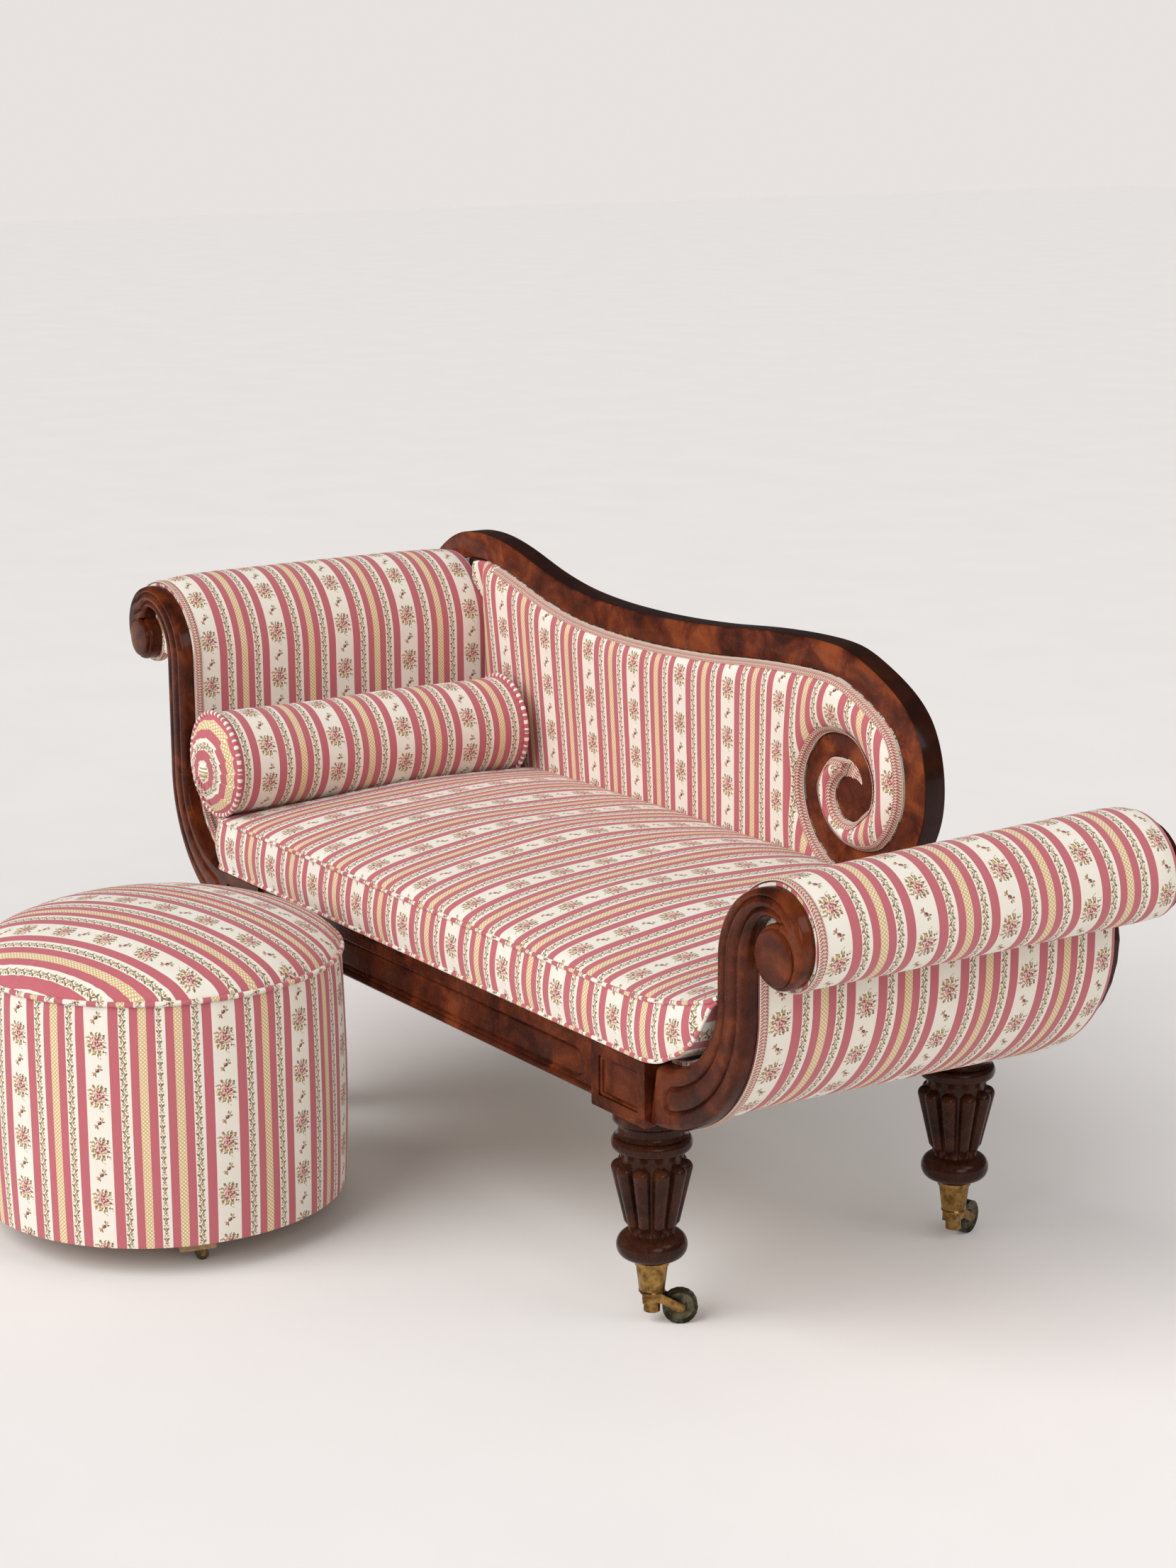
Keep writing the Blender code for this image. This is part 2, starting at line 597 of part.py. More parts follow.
def legs():
    """Turned legs with reeds joined on, and the tenon that goes into the caster's cup."""
    top = LEG_HEIGHT - FIT
    torus_z = LEG_HEIGHT - TORUS_DROP
    half = TORUS_HEIGHT / 2
    torus_mid = (TORUS_RADIUS + NECK_RADIUS) / 2
    reed_head = REED_TOP + REED_TOP_RADIUS
    seat = CUP_TOP + FIT
    profile = [
        (0.0, top),
        (COLLAR_RADIUS, top),
        (COLLAR_RADIUS, (top + torus_z + half) / 2),
        (NECK_RADIUS, torus_z + half),
        (torus_mid, torus_z + half * TORUS_EASE_SHARE),
        (TORUS_RADIUS, torus_z + half / 3),
        (TORUS_RADIUS, torus_z - half / 3),
        (torus_mid, torus_z - half * TORUS_EASE_SHARE),
        (NECK_RADIUS, torus_z - half),
        (NECK_RADIUS, (torus_z - half + reed_head) / 2),
        (CORE_TOP_RADIUS, REED_TOP + REED_TOP_RADIUS / 2),
        (CORE_BOTTOM_RADIUS, REED_FOOT),
        (CORE_BOTTOM_RADIUS, ANKLE_Z + ANKLE_HEIGHT / 2),
        ((ANKLE_RADIUS + CORE_BOTTOM_RADIUS) / 2, ANKLE_Z + ANKLE_HEIGHT * ANKLE_TOP_SHARE),
        (ANKLE_RADIUS, ANKLE_Z + ANKLE_HEIGHT / 8),
        (ANKLE_RADIUS, ANKLE_Z - ANKLE_HEIGHT / 8),
        ((ANKLE_RADIUS + CUP_TOP_RADIUS) / 2, ANKLE_Z - ANKLE_HEIGHT * ANKLE_LOW_SHARE),
        (CUP_TOP_RADIUS, seat),
        (TENON_RADIUS, seat),
        (TENON_RADIUS - TENON_TAPER, seat - TENON_LENGTH),
        (0.0, seat - TENON_LENGTH),
    ]
    core = lathe("leg", profile, LEG_SEGMENTS, MAHOGANY, group=CUTTERS)
    boolean(core, [reeds()], "UNION")
    mesh = core.data
    drop([core])
    shade(mesh, 40)
    for name, (x, y) in CORNERS.items():
        leg = place(bpy.data.objects.new(f"leg_{name}", mesh), MAHOGANY)
        leg.location = (x, y, 0.0)


# Casters

def cup_mesh():
    """The brass cup, a tapered shell with two lips, bored for the leg's tenon."""
    floor = CUP_TOP - TENON_LENGTH
    profile = [
        (0.0, floor),
        (TENON_RADIUS - TENON_TAPER + FIT, floor),
        (TENON_RADIUS + FIT, CUP_TOP),
        (CUP_TOP_RADIUS + CUP_LIP, CUP_TOP),
        (CUP_TOP_RADIUS + CUP_LIP, CUP_TOP - CUP_LIP_HEIGHT),
        (CUP_TOP_RADIUS - CUP_LIP, CUP_TOP - CUP_LIP_HEIGHT - CUP_LIP),
        (CUP_BOTTOM_RADIUS, CASTER_HEIGHT + CUP_LIP_HEIGHT / 2),
        (CUP_BOTTOM_RADIUS + CUP_LIP, CASTER_HEIGHT),
        (0.0, CASTER_HEIGHT),
    ]
    return lathe_mesh("caster_cup", profile, LEG_SEGMENTS, 40)


def wheel_mesh(name, half_profile, segments):
    """A wheel about the Y axis that stands on one of its flats, from half of its profile."""
    profile = half_profile + [(radius, -height) for radius, height in reversed(half_profile)]
    mesh = lathe_mesh(name, profile, segments, 30, ring=True)
    flat_down = Matrix.Rotation(math.pi / segments + math.pi / 2, 4, "Z")
    mesh.transform(Matrix.Rotation(math.pi / 2, 4, "X") @ flat_down)
    return mesh


def fork_mesh(name, plate, socket, arm, outline, pin):
    """The part that swivels: plate, socket, fork and the pin that the wheel turns on.

    The swivel's axis is Z and the wheel trails towards +X. plate is a radius, the height of
    its top and a thickness; socket a radius and the height of its foot; arm its inner face
    and its width; outline the fork's side view, whose first points span its solid head.
    """
    radius, top, thickness = plate
    inner, width = arm
    outer = inner + width
    middle = top - thickness / 2
    body = cylinder(name, radius, (0, 0, top - thickness), (0, 0, top), CUP_SEGMENTS, group=CUTTERS)
    pin_x, pin_z, pin_radius = pin
    head_low = outline[0][1]
    adds = [
        cylinder(f"{name}_socket", socket[0], (0, 0, socket[1]), (0, 0, middle), CUP_SEGMENTS,
                 group=CUTTERS),
        box(f"{name}_head", (outline[0][0], -outer, head_low), (outline[2][0], outer, middle),
            group=CUTTERS),
        cylinder(f"{name}_pin", pin_radius, (pin_x, -outer + width / 2, pin_z),
                 (pin_x, outer - width / 2, pin_z), PIN_SEGMENTS, group=CUTTERS),
        slab(f"{name}_left_arm", outline, inner, outer, group=CUTTERS),
        slab(f"{name}_right_arm", outline, -outer, -inner, group=CUTTERS),
    ]
    boolean(body, adds, "UNION")
    mesh = body.data
    drop([body])
    shade(mesh)
    return mesh


def casters():
    """A cup on each leg, a fork that swivels under it and a wheel on the fork's pin."""
    half_width = WHEEL_WIDTH / 2
    half_web = WHEEL_WEB_WIDTH / 2
    wheel = wheel_mesh("caster_wheel", [
        (AXLE_RADIUS + AXLE_CLEARANCE, half_width),
        (WHEEL_HUB_RADIUS, half_width),
        (WHEEL_HUB_RADIUS + half_width - half_web, half_web),
        (WHEEL_RADIUS - WHEEL_RIM_DEPTH, half_web),
        (WHEEL_RADIUS, half_width),
    ], WHEEL_SEGMENTS)
    axle_z = WHEEL_RADIUS * math.cos(math.pi / WHEEL_SEGMENTS)
    plate_top = CASTER_HEIGHT - FIT
    root = CASTER_TRAIL - WHEEL_RADIUS - SIDE_CLEARANCE
    crown = plate_top - PLATE_THICKNESS * PLATE_SINK_SHARE
    outline = [(-root, plate_top - FORK_DEPTH), (-root, crown), (root, crown)]
    outline += arc((CASTER_TRAIL, axle_z), FORK_EYE_RADIUS, *FORK_EYE_ANGLES, step=EYE_STEP)
    outline.append((root, plate_top - FORK_DEPTH))
    fork = fork_mesh(
        "caster_fork", (PLATE_RADIUS, plate_top, PLATE_THICKNESS),
        (SOCKET_RADIUS, plate_top - SOCKET_LENGTH), (half_width + SIDE_CLEARANCE, FORK_ARM), outline,
        (CASTER_TRAIL, axle_z, AXLE_RADIUS))
    cup = cup_mesh()
    for name, (x, y) in CORNERS.items():
        place(bpy.data.objects.new(f"caster_cup_{name}", cup), BRASS).location = (x, y, 0.0)
        horn = place(bpy.data.objects.new(f"caster_fork_{name}", fork), BRASS)
        horn.location = (x, y, 0.0)
        horn.rotation_euler = (0.0, 0.0, math.radians(TRAIL_ANGLES[name]))
        wheel_object = place(bpy.data.objects.new(f"caster_wheel_{name}", wheel), DARK_BRASS, horn)
        wheel_object.location = (CASTER_TRAIL, 0.0, axle_z)


# Ends

def on_circle(centre, radius, angle):
    turn = math.radians(angle)
    return centre[0] + radius * math.cos(turn), centre[1] + radius * math.sin(turn)


def end_shape(end):
    """The centres of an end's curves, in its own X, which runs outwards from the leg axis."""
    crown_x = STEM_REACH + CROWN_RADIUS
    crown_z = RAIL_TOP + CROWN_RISE[end]
    hook = on_circle((crown_x, crown_z), CROWN_RADIUS - HOOK_RADIUS, HOOK_ANGLE[end])
    turn = (hook[0] + HOOK_RADIUS - TURN_RADIUS, hook[1])
    inner, outer = SWEEP_INNER[end], SWEEP_OUTER[end]
    outside = STEM_REACH + STEM_WIDTH[end]
    return SimpleNamespace(
        butt=BLOCK_X / 2 + FIT,
        outside=outside,
        inner_sweep=(STEM_REACH - inner, RAIL_TOP + inner),
        outer_sweep=(outside - outer, RAIL_TOP - SWEEP_DROP[end] + outer),
        crown=(crown_x, crown_z),
        hook=hook,
        turn=turn,
        eye=on_circle(turn, TURN_RADIUS - EYE_RADIUS[end], EYE_ANGLE[end]))


def sweep_start(radius, offset):
    """Angle at which a sweep leaves the block, or its lowest point where that comes later."""
    return max(-90.0, math.degrees(math.asin(offset / radius)) - 90)


def seat_side(end, pad, crown_pad):
    """The sweep, the stem and the crown up to the hook, under a padding."""
    shape = end_shape(end)
    radius = SWEEP_INNER[end] - pad
    start = sweep_start(radius, shape.butt - shape.inner_sweep[0])
    return (arc(shape.inner_sweep, radius, start, 0)
            + arc(shape.crown, CROWN_RADIUS + pad, 180, HOOK_ANGLE[end],
                  height=CROWN_RADIUS + crown_pad))


def to_world(end, points):
    if end == "foot":
        return list(points)
    return [(-LEG_PITCH_X - x, z) for x, z in points]


def outer_side(end, swell, sink):
    """The outer sweep, from the stem down to the block. It swells sideways and sinks inwards."""
    shape = end_shape(end)
    radius = SWEEP_OUTER[end] + swell
    offset = shape.butt - shape.outer_sweep[0]
    return arc(shape.outer_sweep, radius, 0, math.degrees(math.asin(offset / radius)) - 90,
               height=SWEEP_OUTER[end] - sink)


def under_crown(end, inset, start, stop):
    """The underside of the crown, above the gap between the stem and the eye."""
    shape = end_shape(end)
    centre = (shape.outside - inset + GAP_REACH[end], shape.crown[1])
    return arc(centre, GAP_REACH[end], start, stop, height=CROWN_RADIUS - CROWN_THICKNESS)


def member_outline(end, inset=0.0):
    """Outline of a scroll member, from the block round the scroll and back along the outside."""
    shape = end_shape(end)
    points = [(shape.butt, RAIL_TOP)]
    points += seat_side(end, 0.0, 0.0)
    points += arc(shape.hook, HOOK_RADIUS, HOOK_ANGLE[end], 0)[1:]
    points += arc(shape.turn, TURN_RADIUS, 0, EYE_ANGLE[end])[1:]
    points += arc(shape.eye, EYE_RADIUS[end], EYE_ANGLE[end], -GAP_CUT_ANGLE[end])[1:]
    points += under_crown(end, inset, GAP_TOP_ANGLE, 180)
    points += outer_side(end, 0.0, inset)
    return to_world(end, points)


def gap_cut(end):
    """The narrow end of the gap, which runs to a point above the eye."""
    shape = end_shape(end)
    outline = arc(shape.eye, EYE_RADIUS[end], -GAP_CUT_ANGLE[end], -GAP_END_ANGLE)
    outline += under_crown(end, 0.0, 90, GAP_TOP_ANGLE)
    return slab(f"gap_cut_{end}", to_world(end, outline), MEMBER_FRONT - OVERRUN,
                MEMBER_BACK + OVERRUN, group=CUTTERS)


def front_scrolls():
    """The members at the front, rounded on the face, with a raised boss on the eye."""
    for end in ("head", "foot"):
        name = f"scroll_{end}_front"
        member = slab(name, member_outline(end), MEMBER_FRONT, MEMBER_BACK, MAHOGANY)
        round_front(member, MEMBER_FRONT, MEMBER_ROUND, 3)
        boolean(member, [gap_cut(end)], "DIFFERENCE")
        x, z = to_world(end, [end_shape(end).eye])[0]
        boss = cylinder(
            name + "_boss", EYE_RADIUS[end] - BOSS_MARGIN, (x, MEMBER_FRONT - BOSS_PROUD, z),
            (x, MEMBER_FRONT + MEMBER_Y / 2, z), DISC_SEGMENTS, group=CUTTERS)
        boolean(member, [boss], "UNION")
        set_material(member, MAHOGANY)
        shade(member.data, 32)


def foot_back_scroll():
    """The back member of the foot end, plain and thin, inside the cover's outline."""
    slab("scroll_foot_back", member_outline("foot", BACK_SCROLL_INSET), BACK_FACE - BACK_SCROLL_Y,
         BACK_FACE, MAHOGANY)


def head_back_post():
    """The back member of the head end, whose stem runs up under the back frame's hump."""
    shape = end_shape("head")
    radius = SWEEP_INNER["head"]
    start = sweep_start(radius, shape.butt - shape.inner_sweep[0])
    points = [(shape.butt, RAIL_TOP)]
    points += arc(shape.inner_sweep, radius, start, 0)
    points += [(STEM_REACH, HUMP_Z), (shape.outside, HUMP_Z)]
    points += outer_side("head", 0.0, 0.0)
    post = slab("head_back_post", to_world("head", points), BAND_FRONT, BAND_BACK, MAHOGANY)
    boolean(post, fat_band(BAND_FRONT, BAND_BACK), "DIFFERENCE")
    set_material(post, MAHOGANY)


def pad_outline(end, swell, sink):
    """Outline of an end's stuffing where its swell and its sink are shares of the full ones."""
    shape = end_shape(end)
    seat_pad = PAD_EDGE + (PAD_SEAT_SIDE - PAD_EDGE) * swell
    crown_pad = PAD_EDGE + (PAD_CROWN[end] - PAD_EDGE) * swell
    outside = PAD_OUTSIDE[end] * swell
    points = [(shape.butt, RAIL_TOP + FIT)]
    points += seat_side(end, seat_pad, crown_pad)
    points += arc(shape.hook, HOOK_RADIUS + crown_pad, HOOK_ANGLE[end], 0)[1:]
    points += arc(shape.turn, TURN_RADIUS + crown_pad, 0, EYE_ANGLE[end],
                  height=TURN_RADIUS + PAD_EDGE)[1:]
    points += arc(shape.eye, EYE_RADIUS[end] + PAD_EDGE, EYE_ANGLE[end], PAD_END_ANGLE)[1:]
    points.append((shape.outside + outside, shape.eye[1] - EYE_RADIUS[end] * PAD_TUCK_SHARE))
    points += outer_side(end, outside, PAD_SINK * sink)
    return to_world(end, points)


def end_padding():
    """The stuffed ends, each on a round rail that runs through its roll."""
    for end in ("head", "foot"):
        front = MEMBER_BACK + FIT
        back = (BAND_FRONT if end == "head" else BACK_FACE - BACK_SCROLL_Y) - FIT
        sections = []
        for share, swell, sink in zip(PAD_PLACE_SHARES, PAD_SWELL_SHARES[end], PAD_SINK_SHARES):
            y = front + (back - front) * share
            sections.append([(x, y, z) for x, z in pad_outline(end, swell, sink)])
        pad = loft(f"{end}_padding", sections, FABRIC)
        x, z = to_world(end, [end_shape(end).hook])[0]
        bore = cylinder(
            f"{end}_roll_bore", ROLL_RAIL_RADIUS + FIT, (x, front - OVERRUN, z),
            (x, back + OVERRUN, z), ROLL_RAIL_SEGMENTS, group=CUTTERS)
        boolean(pad, [bore], "DIFFERENCE")
        set_material(pad, FABRIC)
        shade(pad.data, 50)
        cylinder(f"{end}_roll_rail", ROLL_RAIL_RADIUS, (x, front, z), (x, back, z),
                 ROLL_RAIL_SEGMENTS, BEECH)


# Back

def band_line():
    """The band's centre line with its width share: head curl, crest and spiral."""
    curl = []
    for angle, share in zip(CURL_ANGLES, CURL_WIDTH_SHARES):
        turn = math.radians(angle)
        curl.append((CURL_X + CURL_RADIUS * math.cos(turn), CURL_Z + CURL_RADIUS * math.sin(turn), share))
    crest = []
    for along, height in zip(CREST_X_SHARES, CREST_Z_SHARES):
        crest.append((CURL_X + (SPIRAL_X - CURL_X) * along, HUMP_Z - DIP_DEPTH * (1 - height), 1.0))
    spiral = []
    for i, (reach, share) in enumerate(zip(SPIRAL_RADIUS_SHARES, SPIRAL_WIDTH_SHARES)):
        turn = math.radians(SPIRAL_START - SPIRAL_STEP * i)
        spiral.append((SPIRAL_X + SPIRAL_RADIUS * reach * math.cos(turn),
                       SPIRAL_Z + SPIRAL_RADIUS * reach * math.sin(turn), share))
    return smooth_line(curl + crest + spiral)


def band_outline(extra=0.0):
    """Both edges of the band, with extra added to each side."""
    line = band_line()
    left, right = [], []
    for i, (x, z, share) in enumerate(line):
        along = (line[min(i + 1, len(line) - 1)].xy - line[max(i - 1, 0)].xy).normalized()
        half = BAND_WIDTH * share / 2 + extra
        left.append((x - along.y * half, z + along.x * half))
        right.append((x + along.y * half, z - along.x * half))
    return thin_out(left) + thin_out(right)[::-1]


def band_eyes(extra, y_front, y_back):
    """The discs in which the spiral and the head curl end."""
    spiral = (SPIRAL_X - SPIRAL_EYE_OUT, SPIRAL_Z - SPIRAL_EYE_DROP)
    curl = (CURL_X + CURL_RADIUS - CURL_EYE_RADIUS, CURL_Z)
    return [
        cylinder("spiral_eye", SPIRAL_EYE_RADIUS + extra, (spiral[0], y_front, spiral[1]),
                 (spiral[0], y_back, spiral[1]), DISC_SEGMENTS, group=CUTTERS),
        cylinder("curl_eye", CURL_EYE_RADIUS + extra, (curl[0], y_front, curl[1]),
                 (curl[0], y_back, curl[1]), DISC_SEGMENTS, group=CUTTERS),
    ]


def back_frame():
    """The show-wood band, joined to its two eyes, with eased front edges."""
    band = slab("back_frame", band_outline(), BAND_FRONT, BAND_BACK, MAHOGANY)
    eyes = band_eyes(0.0, BAND_FRONT, BAND_BACK)
    for piece in (band, *eyes):
        round_front(piece, BAND_FRONT, BAND_ROUND, 2)
    boolean(band, eyes, "UNION")
    set_material(band, MAHOGANY)
    shade(band.data, 32)


def fat_band(y_front, y_back):
    """The band and its eyes with a clearance round them, to cut their neighbours."""
    low, high = y_front - OVERRUN, y_back + OVERRUN
    return [slab("fat_band", band_outline(FIT), low, high, group=CUTTERS), *band_eyes(FIT, low, high)]


def crest_to_post():
    """The band's centre line from above the head padding to the spiral's lowest point."""
    line = [p.xy for p in band_line()]
    start = next(i for i, p in enumerate(line) if p.y > CURL_Z and p.x > CURL_X + CURL_RADIUS)
    stop = next(i for i, p in enumerate(line) if i > start and p.y < SPIRAL_Z and p.x < SPIRAL_X)
    return thin_out([tuple(p) for p in line[start:stop]])


def back_padding():
    """The padded back, which runs on into the spiral between the turns of the band."""
    shape = end_shape("head")
    pad = PAD_SEAT_SIDE + FIT
    radius = SWEEP_INNER["head"] - pad
    low = LOWER_RAIL_TOP + FIT
    centre = shape.inner_sweep
    side = arc(centre, radius, math.degrees(math.asin((low - centre[1]) / radius)), 0)
    side += arc(shape.crown, CROWN_RADIUS + pad, 180, PANEL_CORNER_ANGLE,
                height=CROWN_RADIUS + PAD_CROWN["head"] + FIT)
    side = to_world("head", side)
    crest = [p for p in crest_to_post() if p[0] > side[-1][0]]
    outline = [*side, (side[-1][0], crest[0][1]), *crest, (crest[-1][0], low)]
    panel = slab("back_padding", outline, PANEL_FRONT, PANEL_BACK, FABRIC)
    tools = fat_band(PANEL_FRONT, PANEL_BACK)
    stop_x = SPIRAL_X + CHANNEL_STOP_RADIUS / 2
    stop_z = SPIRAL_Z + CHANNEL_STOP_RADIUS
    tools.append(cylinder(
        "channel_stop", CHANNEL_STOP_RADIUS, (stop_x, PANEL_FRONT - OVERRUN, stop_z),
        (stop_x, PANEL_BACK + OVERRUN, stop_z), DISC_SEGMENTS, group=CUTTERS))
    tools.append(box(
        "post_room", (-LEG_PITCH_X - shape.outside, BAND_FRONT - FIT, shape.inner_sweep[1]),
        (-LEG_PITCH_X - STEM_REACH + FIT, BAND_BACK, HUMP_Z), group=CUTTERS))
    boolean(panel, tools, "DIFFERENCE")
    round_front(panel, PANEL_FRONT, PANEL_ROUND, 2)
    set_material(panel, FABRIC)
    shade(panel.data, 50)


def back_lining():
    """The plain cloth that closes the back, tacked on the band and the rails."""
    low = LOWER_RAIL_TOP - LINING_LAP
    crest = [p for p in crest_to_post() if p[0] > HEAD_SIDE]
    slab("back_lining", [(crest[0][0], low), *crest, (crest[-1][0], low)], BAND_BACK + FIT,
         BAND_BACK + LINING, LINING_CLOTH)


def back_supports():
    """The lower back rail on the back rail, and the short post behind the panel."""
    box("lower_back_rail", (HEAD_SIDE, BAND_FRONT, RAIL_TOP + FIT),
        (-LOWER_RAIL_SETBACK, BAND_BACK, LOWER_RAIL_TOP), BEECH)
    post = box("spiral_post", (SPIRAL_X - POST_X / 2, PANEL_BACK + FIT, LOWER_RAIL_TOP + FIT),
               (SPIRAL_X + POST_X / 2, BAND_BACK, SPIRAL_Z - SPIRAL_RADIUS * SPIRAL_LOW_SHARE), BEECH)
    boolean(post, fat_band(BAND_FRONT, BAND_BACK), "DIFFERENCE")
    set_material(post, BEECH)


# Seat

def seat_webbing():
    """Straps across and along, tacked under the rails and joined where they cross."""
    top = RAIL_BOTTOM - FIT
    low = top - WEB_THICKNESS
    straps = []
    across_front = RAIL_FRONT + FRONT_RAIL_Y / 2
    across_back = BACK_RAIL_BACK - BACK_RAIL_Y / 2
    first = INNER_HEAD + WEB_MARGIN + WEB_WIDTH / 2
    pitch = (INNER_FOOT - WEB_MARGIN - WEB_WIDTH / 2 - first) / (WEB_COUNT_X - 1)
    for i in range(WEB_COUNT_X):
        x = first + pitch * i
        straps.append(box(f"strap_across_{i}", (x - WEB_WIDTH / 2, across_front, low),
                          (x + WEB_WIDTH / 2, across_back, top), group=CUTTERS))
    first = BLOCK_Y / 2 + WEB_MARGIN + WEB_WIDTH / 2
    pitch = (LEG_PITCH_Y - 2 * first) / (WEB_COUNT_Y - 1)
    for i in range(WEB_COUNT_Y):
        y = first + pitch * i
        straps.append(box(f"strap_along_{i}", (HEAD_SIDE + END_RAIL_X / 2, y - WEB_WIDTH / 2, low),
                          (FOOT_SIDE - END_RAIL_X / 2, y + WEB_WIDTH / 2, top), group=CUTTERS))
    joined = boolean(straps[0], straps[1:], "UNION")
    mesh = joined.data
    mesh.transform(Matrix.Translation(joined.location))
    drop([joined])
    place(bpy.data.objects.new("seat_webbing", mesh), JUTE)


def seat_platform():
    """The stuffed platform between the rails, notched round the corner blocks."""
    front = RAIL_FRONT + FRONT_RAIL_Y + FIT
    back = min(BAND_FRONT, BACK_RAIL_BACK - BACK_RAIL_Y) - FIT
    front_notch = BLOCK_Y / 2 + FIT
    back_notch = LEG_PITCH_Y - BLOCK_Y / 2 - FIT
    head = HEAD_SIDE + END_RAIL_X + FIT
    foot = FOOT_SIDE - END_RAIL_X - FIT
    outline = [
        (INNER_HEAD, front), (INNER_FOOT, front), (INNER_FOOT, front_notch), (foot, front_notch),
        (foot, back_notch), (INNER_FOOT, back_notch), (INNER_FOOT, back), (INNER_HEAD, back),
        (INNER_HEAD, back_notch), (head, back_notch), (head, front_notch), (INNER_HEAD, front_notch),
    ]
    platform = slab("seat_platform", outline, RAIL_BOTTOM, RAIL_TOP + PAD_SEAT_SIDE, LINING_CLOTH)
    platform.data.transform(Matrix(((1, 0, 0, 0), (0, 0, 1, 0), (0, 1, 0, 0), (0, 0, 0, 1))))
    platform.data.flip_normals()


# Loose cushion and bolster

def bolster_axis():
    """Where the bolster lies on the cushion, in X and Z."""
    outside = BOLSTER_RADIUS + BOLSTER_PIPING
    return -LEG_PITCH_X - BOLSTER_REACH, SEAT_FLOOR + CUSHION_BOX + BOLSTER_LIFT + outside


def free_radius(end):
    """Radius of a sweep that stays clear of its padding."""
    return SWEEP_INNER[end] - PAD_SEAT_SIDE - FIT - SAG


def cushion_ends():
    """Where the cushion starts and ends."""
    foot = STEM_REACH - SWEEP_INNER["foot"] + free_radius("foot") * CUSHION_FOOT_SHARE
    return -LEG_PITCH_X - CUSHION_HEAD_REACH, foot


def cushion_heights(x, seam, depth):
    """Underside and top of the cushion at a place along it, under a crown of a given depth."""
    start, end = cushion_ends()
    side = "head" if x < -LEG_PITCH_X / 2 else "foot"
    radius = free_radius(side)
    beyond = max(-LEG_PITCH_X - x, x) - STEM_REACH + SWEEP_INNER[side]
    low = SEAT_FLOOR
    if beyond > 0:
        low = RAIL_TOP + SWEEP_INNER[side] - math.sqrt(radius ** 2 - beyond ** 2)
    share = (x - start) / (end - start)
    climb = CUSHION_FOOT_RISE * max(0.0, x / end) ** 2
    swell = math.sin(math.pi * min(max(share, 0.0), 1.0)) ** CUSHION_POWER_X
    high = seam + climb + CUSHION_CROWN * depth * swell
    roll_x, roll_z = bolster_axis()
    reach = BOLSTER_RADIUS + BOLSTER_PIPING + FIT + SAG
    if abs(x - roll_x) < reach:
        high = min(high, roll_z - math.sqrt(reach ** 2 - (x - roll_x) ** 2))
    return low, high


def seat_cushion():
    """A crowned box cushion that climbs the foot end's sweep and is pressed by the bolster."""
    start, end = cushion_ends()
    front = BLOCK_FRONT - CUSHION_PROUD
    back = PANEL_FRONT - FIT
    places = []
    for i in range(CUSHION_COLUMNS):
        even = i / (CUSHION_COLUMNS - 1)
        eased = 0.5 - 0.5 * math.cos(math.pi * even)
        share = CUSHION_EVEN_SHARE * even + (1 - CUSHION_EVEN_SHARE) * eased
        places.append(start + (end - start) * share)
    sections = []
    for row in CUSHION_ROW_SHARES:
        y = front + (back - front) * row
        face = row in (0.0, 1.0)
        depth = 0.0 if face else math.sin(math.pi * row) ** CUSHION_POWER_Y
        seam = SEAT_FLOOR + CUSHION_BOX + CUSHION_BACK_RISE * row
        under, over = [], []
        for x in places:
            low, high = cushion_heights(x, seam, depth)
            if face:
                low += CUSHION_BULGE
                high -= CUSHION_BULGE
            if high - low < CUSHION_BULGE:
                low, high = (low + high - CUSHION_BULGE) / 2, (low + high + CUSHION_BULGE) / 2
            under.append((x, y, low))
            over.append((x, y, high))
        sections.append(under + over[::-1])
    cushion = loft("seat_cushion", sections, FABRIC)
    shade(cushion.data, 45)


def bolster():
    """A roll with piped edges, domed ends and a button in the middle of each."""
    half = BOLSTER_LENGTH / 2
    seam = half - BOLSTER_DOME
    outside = BOLSTER_RADIUS + BOLSTER_PIPING
    side = [
        (0.0, half),
        (BUTTON_RADIUS, half),
        (BUTTON_RADIUS + BOLSTER_PIPING, half - BOLSTER_PIPING),
        (BOLSTER_RADIUS / 2, half - BOLSTER_DOME / 4),
        (BOLSTER_RADIUS * BOLSTER_SHOULDER_SHARE, half - BOLSTER_DOME / 2),
        (outside - BOLSTER_PIPING, seam),
        (outside, seam - BOLSTER_PIPING),
        (BOLSTER_RADIUS, seam - 3 * BOLSTER_PIPING),
    ]
    profile = side + [(BOLSTER_RADIUS, 0.0)] + [(radius, -height) for radius, height in reversed(side)]
    roll = lathe("bolster", profile, BOLSTER_SEGMENTS, FABRIC)
    x, z = bolster_axis()
    roll.rotation_euler = (math.pi / 2, 0.0, 0.0)
    roll.location = (x, BLOCK_FRONT - BOLSTER_PROUD + half, z)


# Pouf

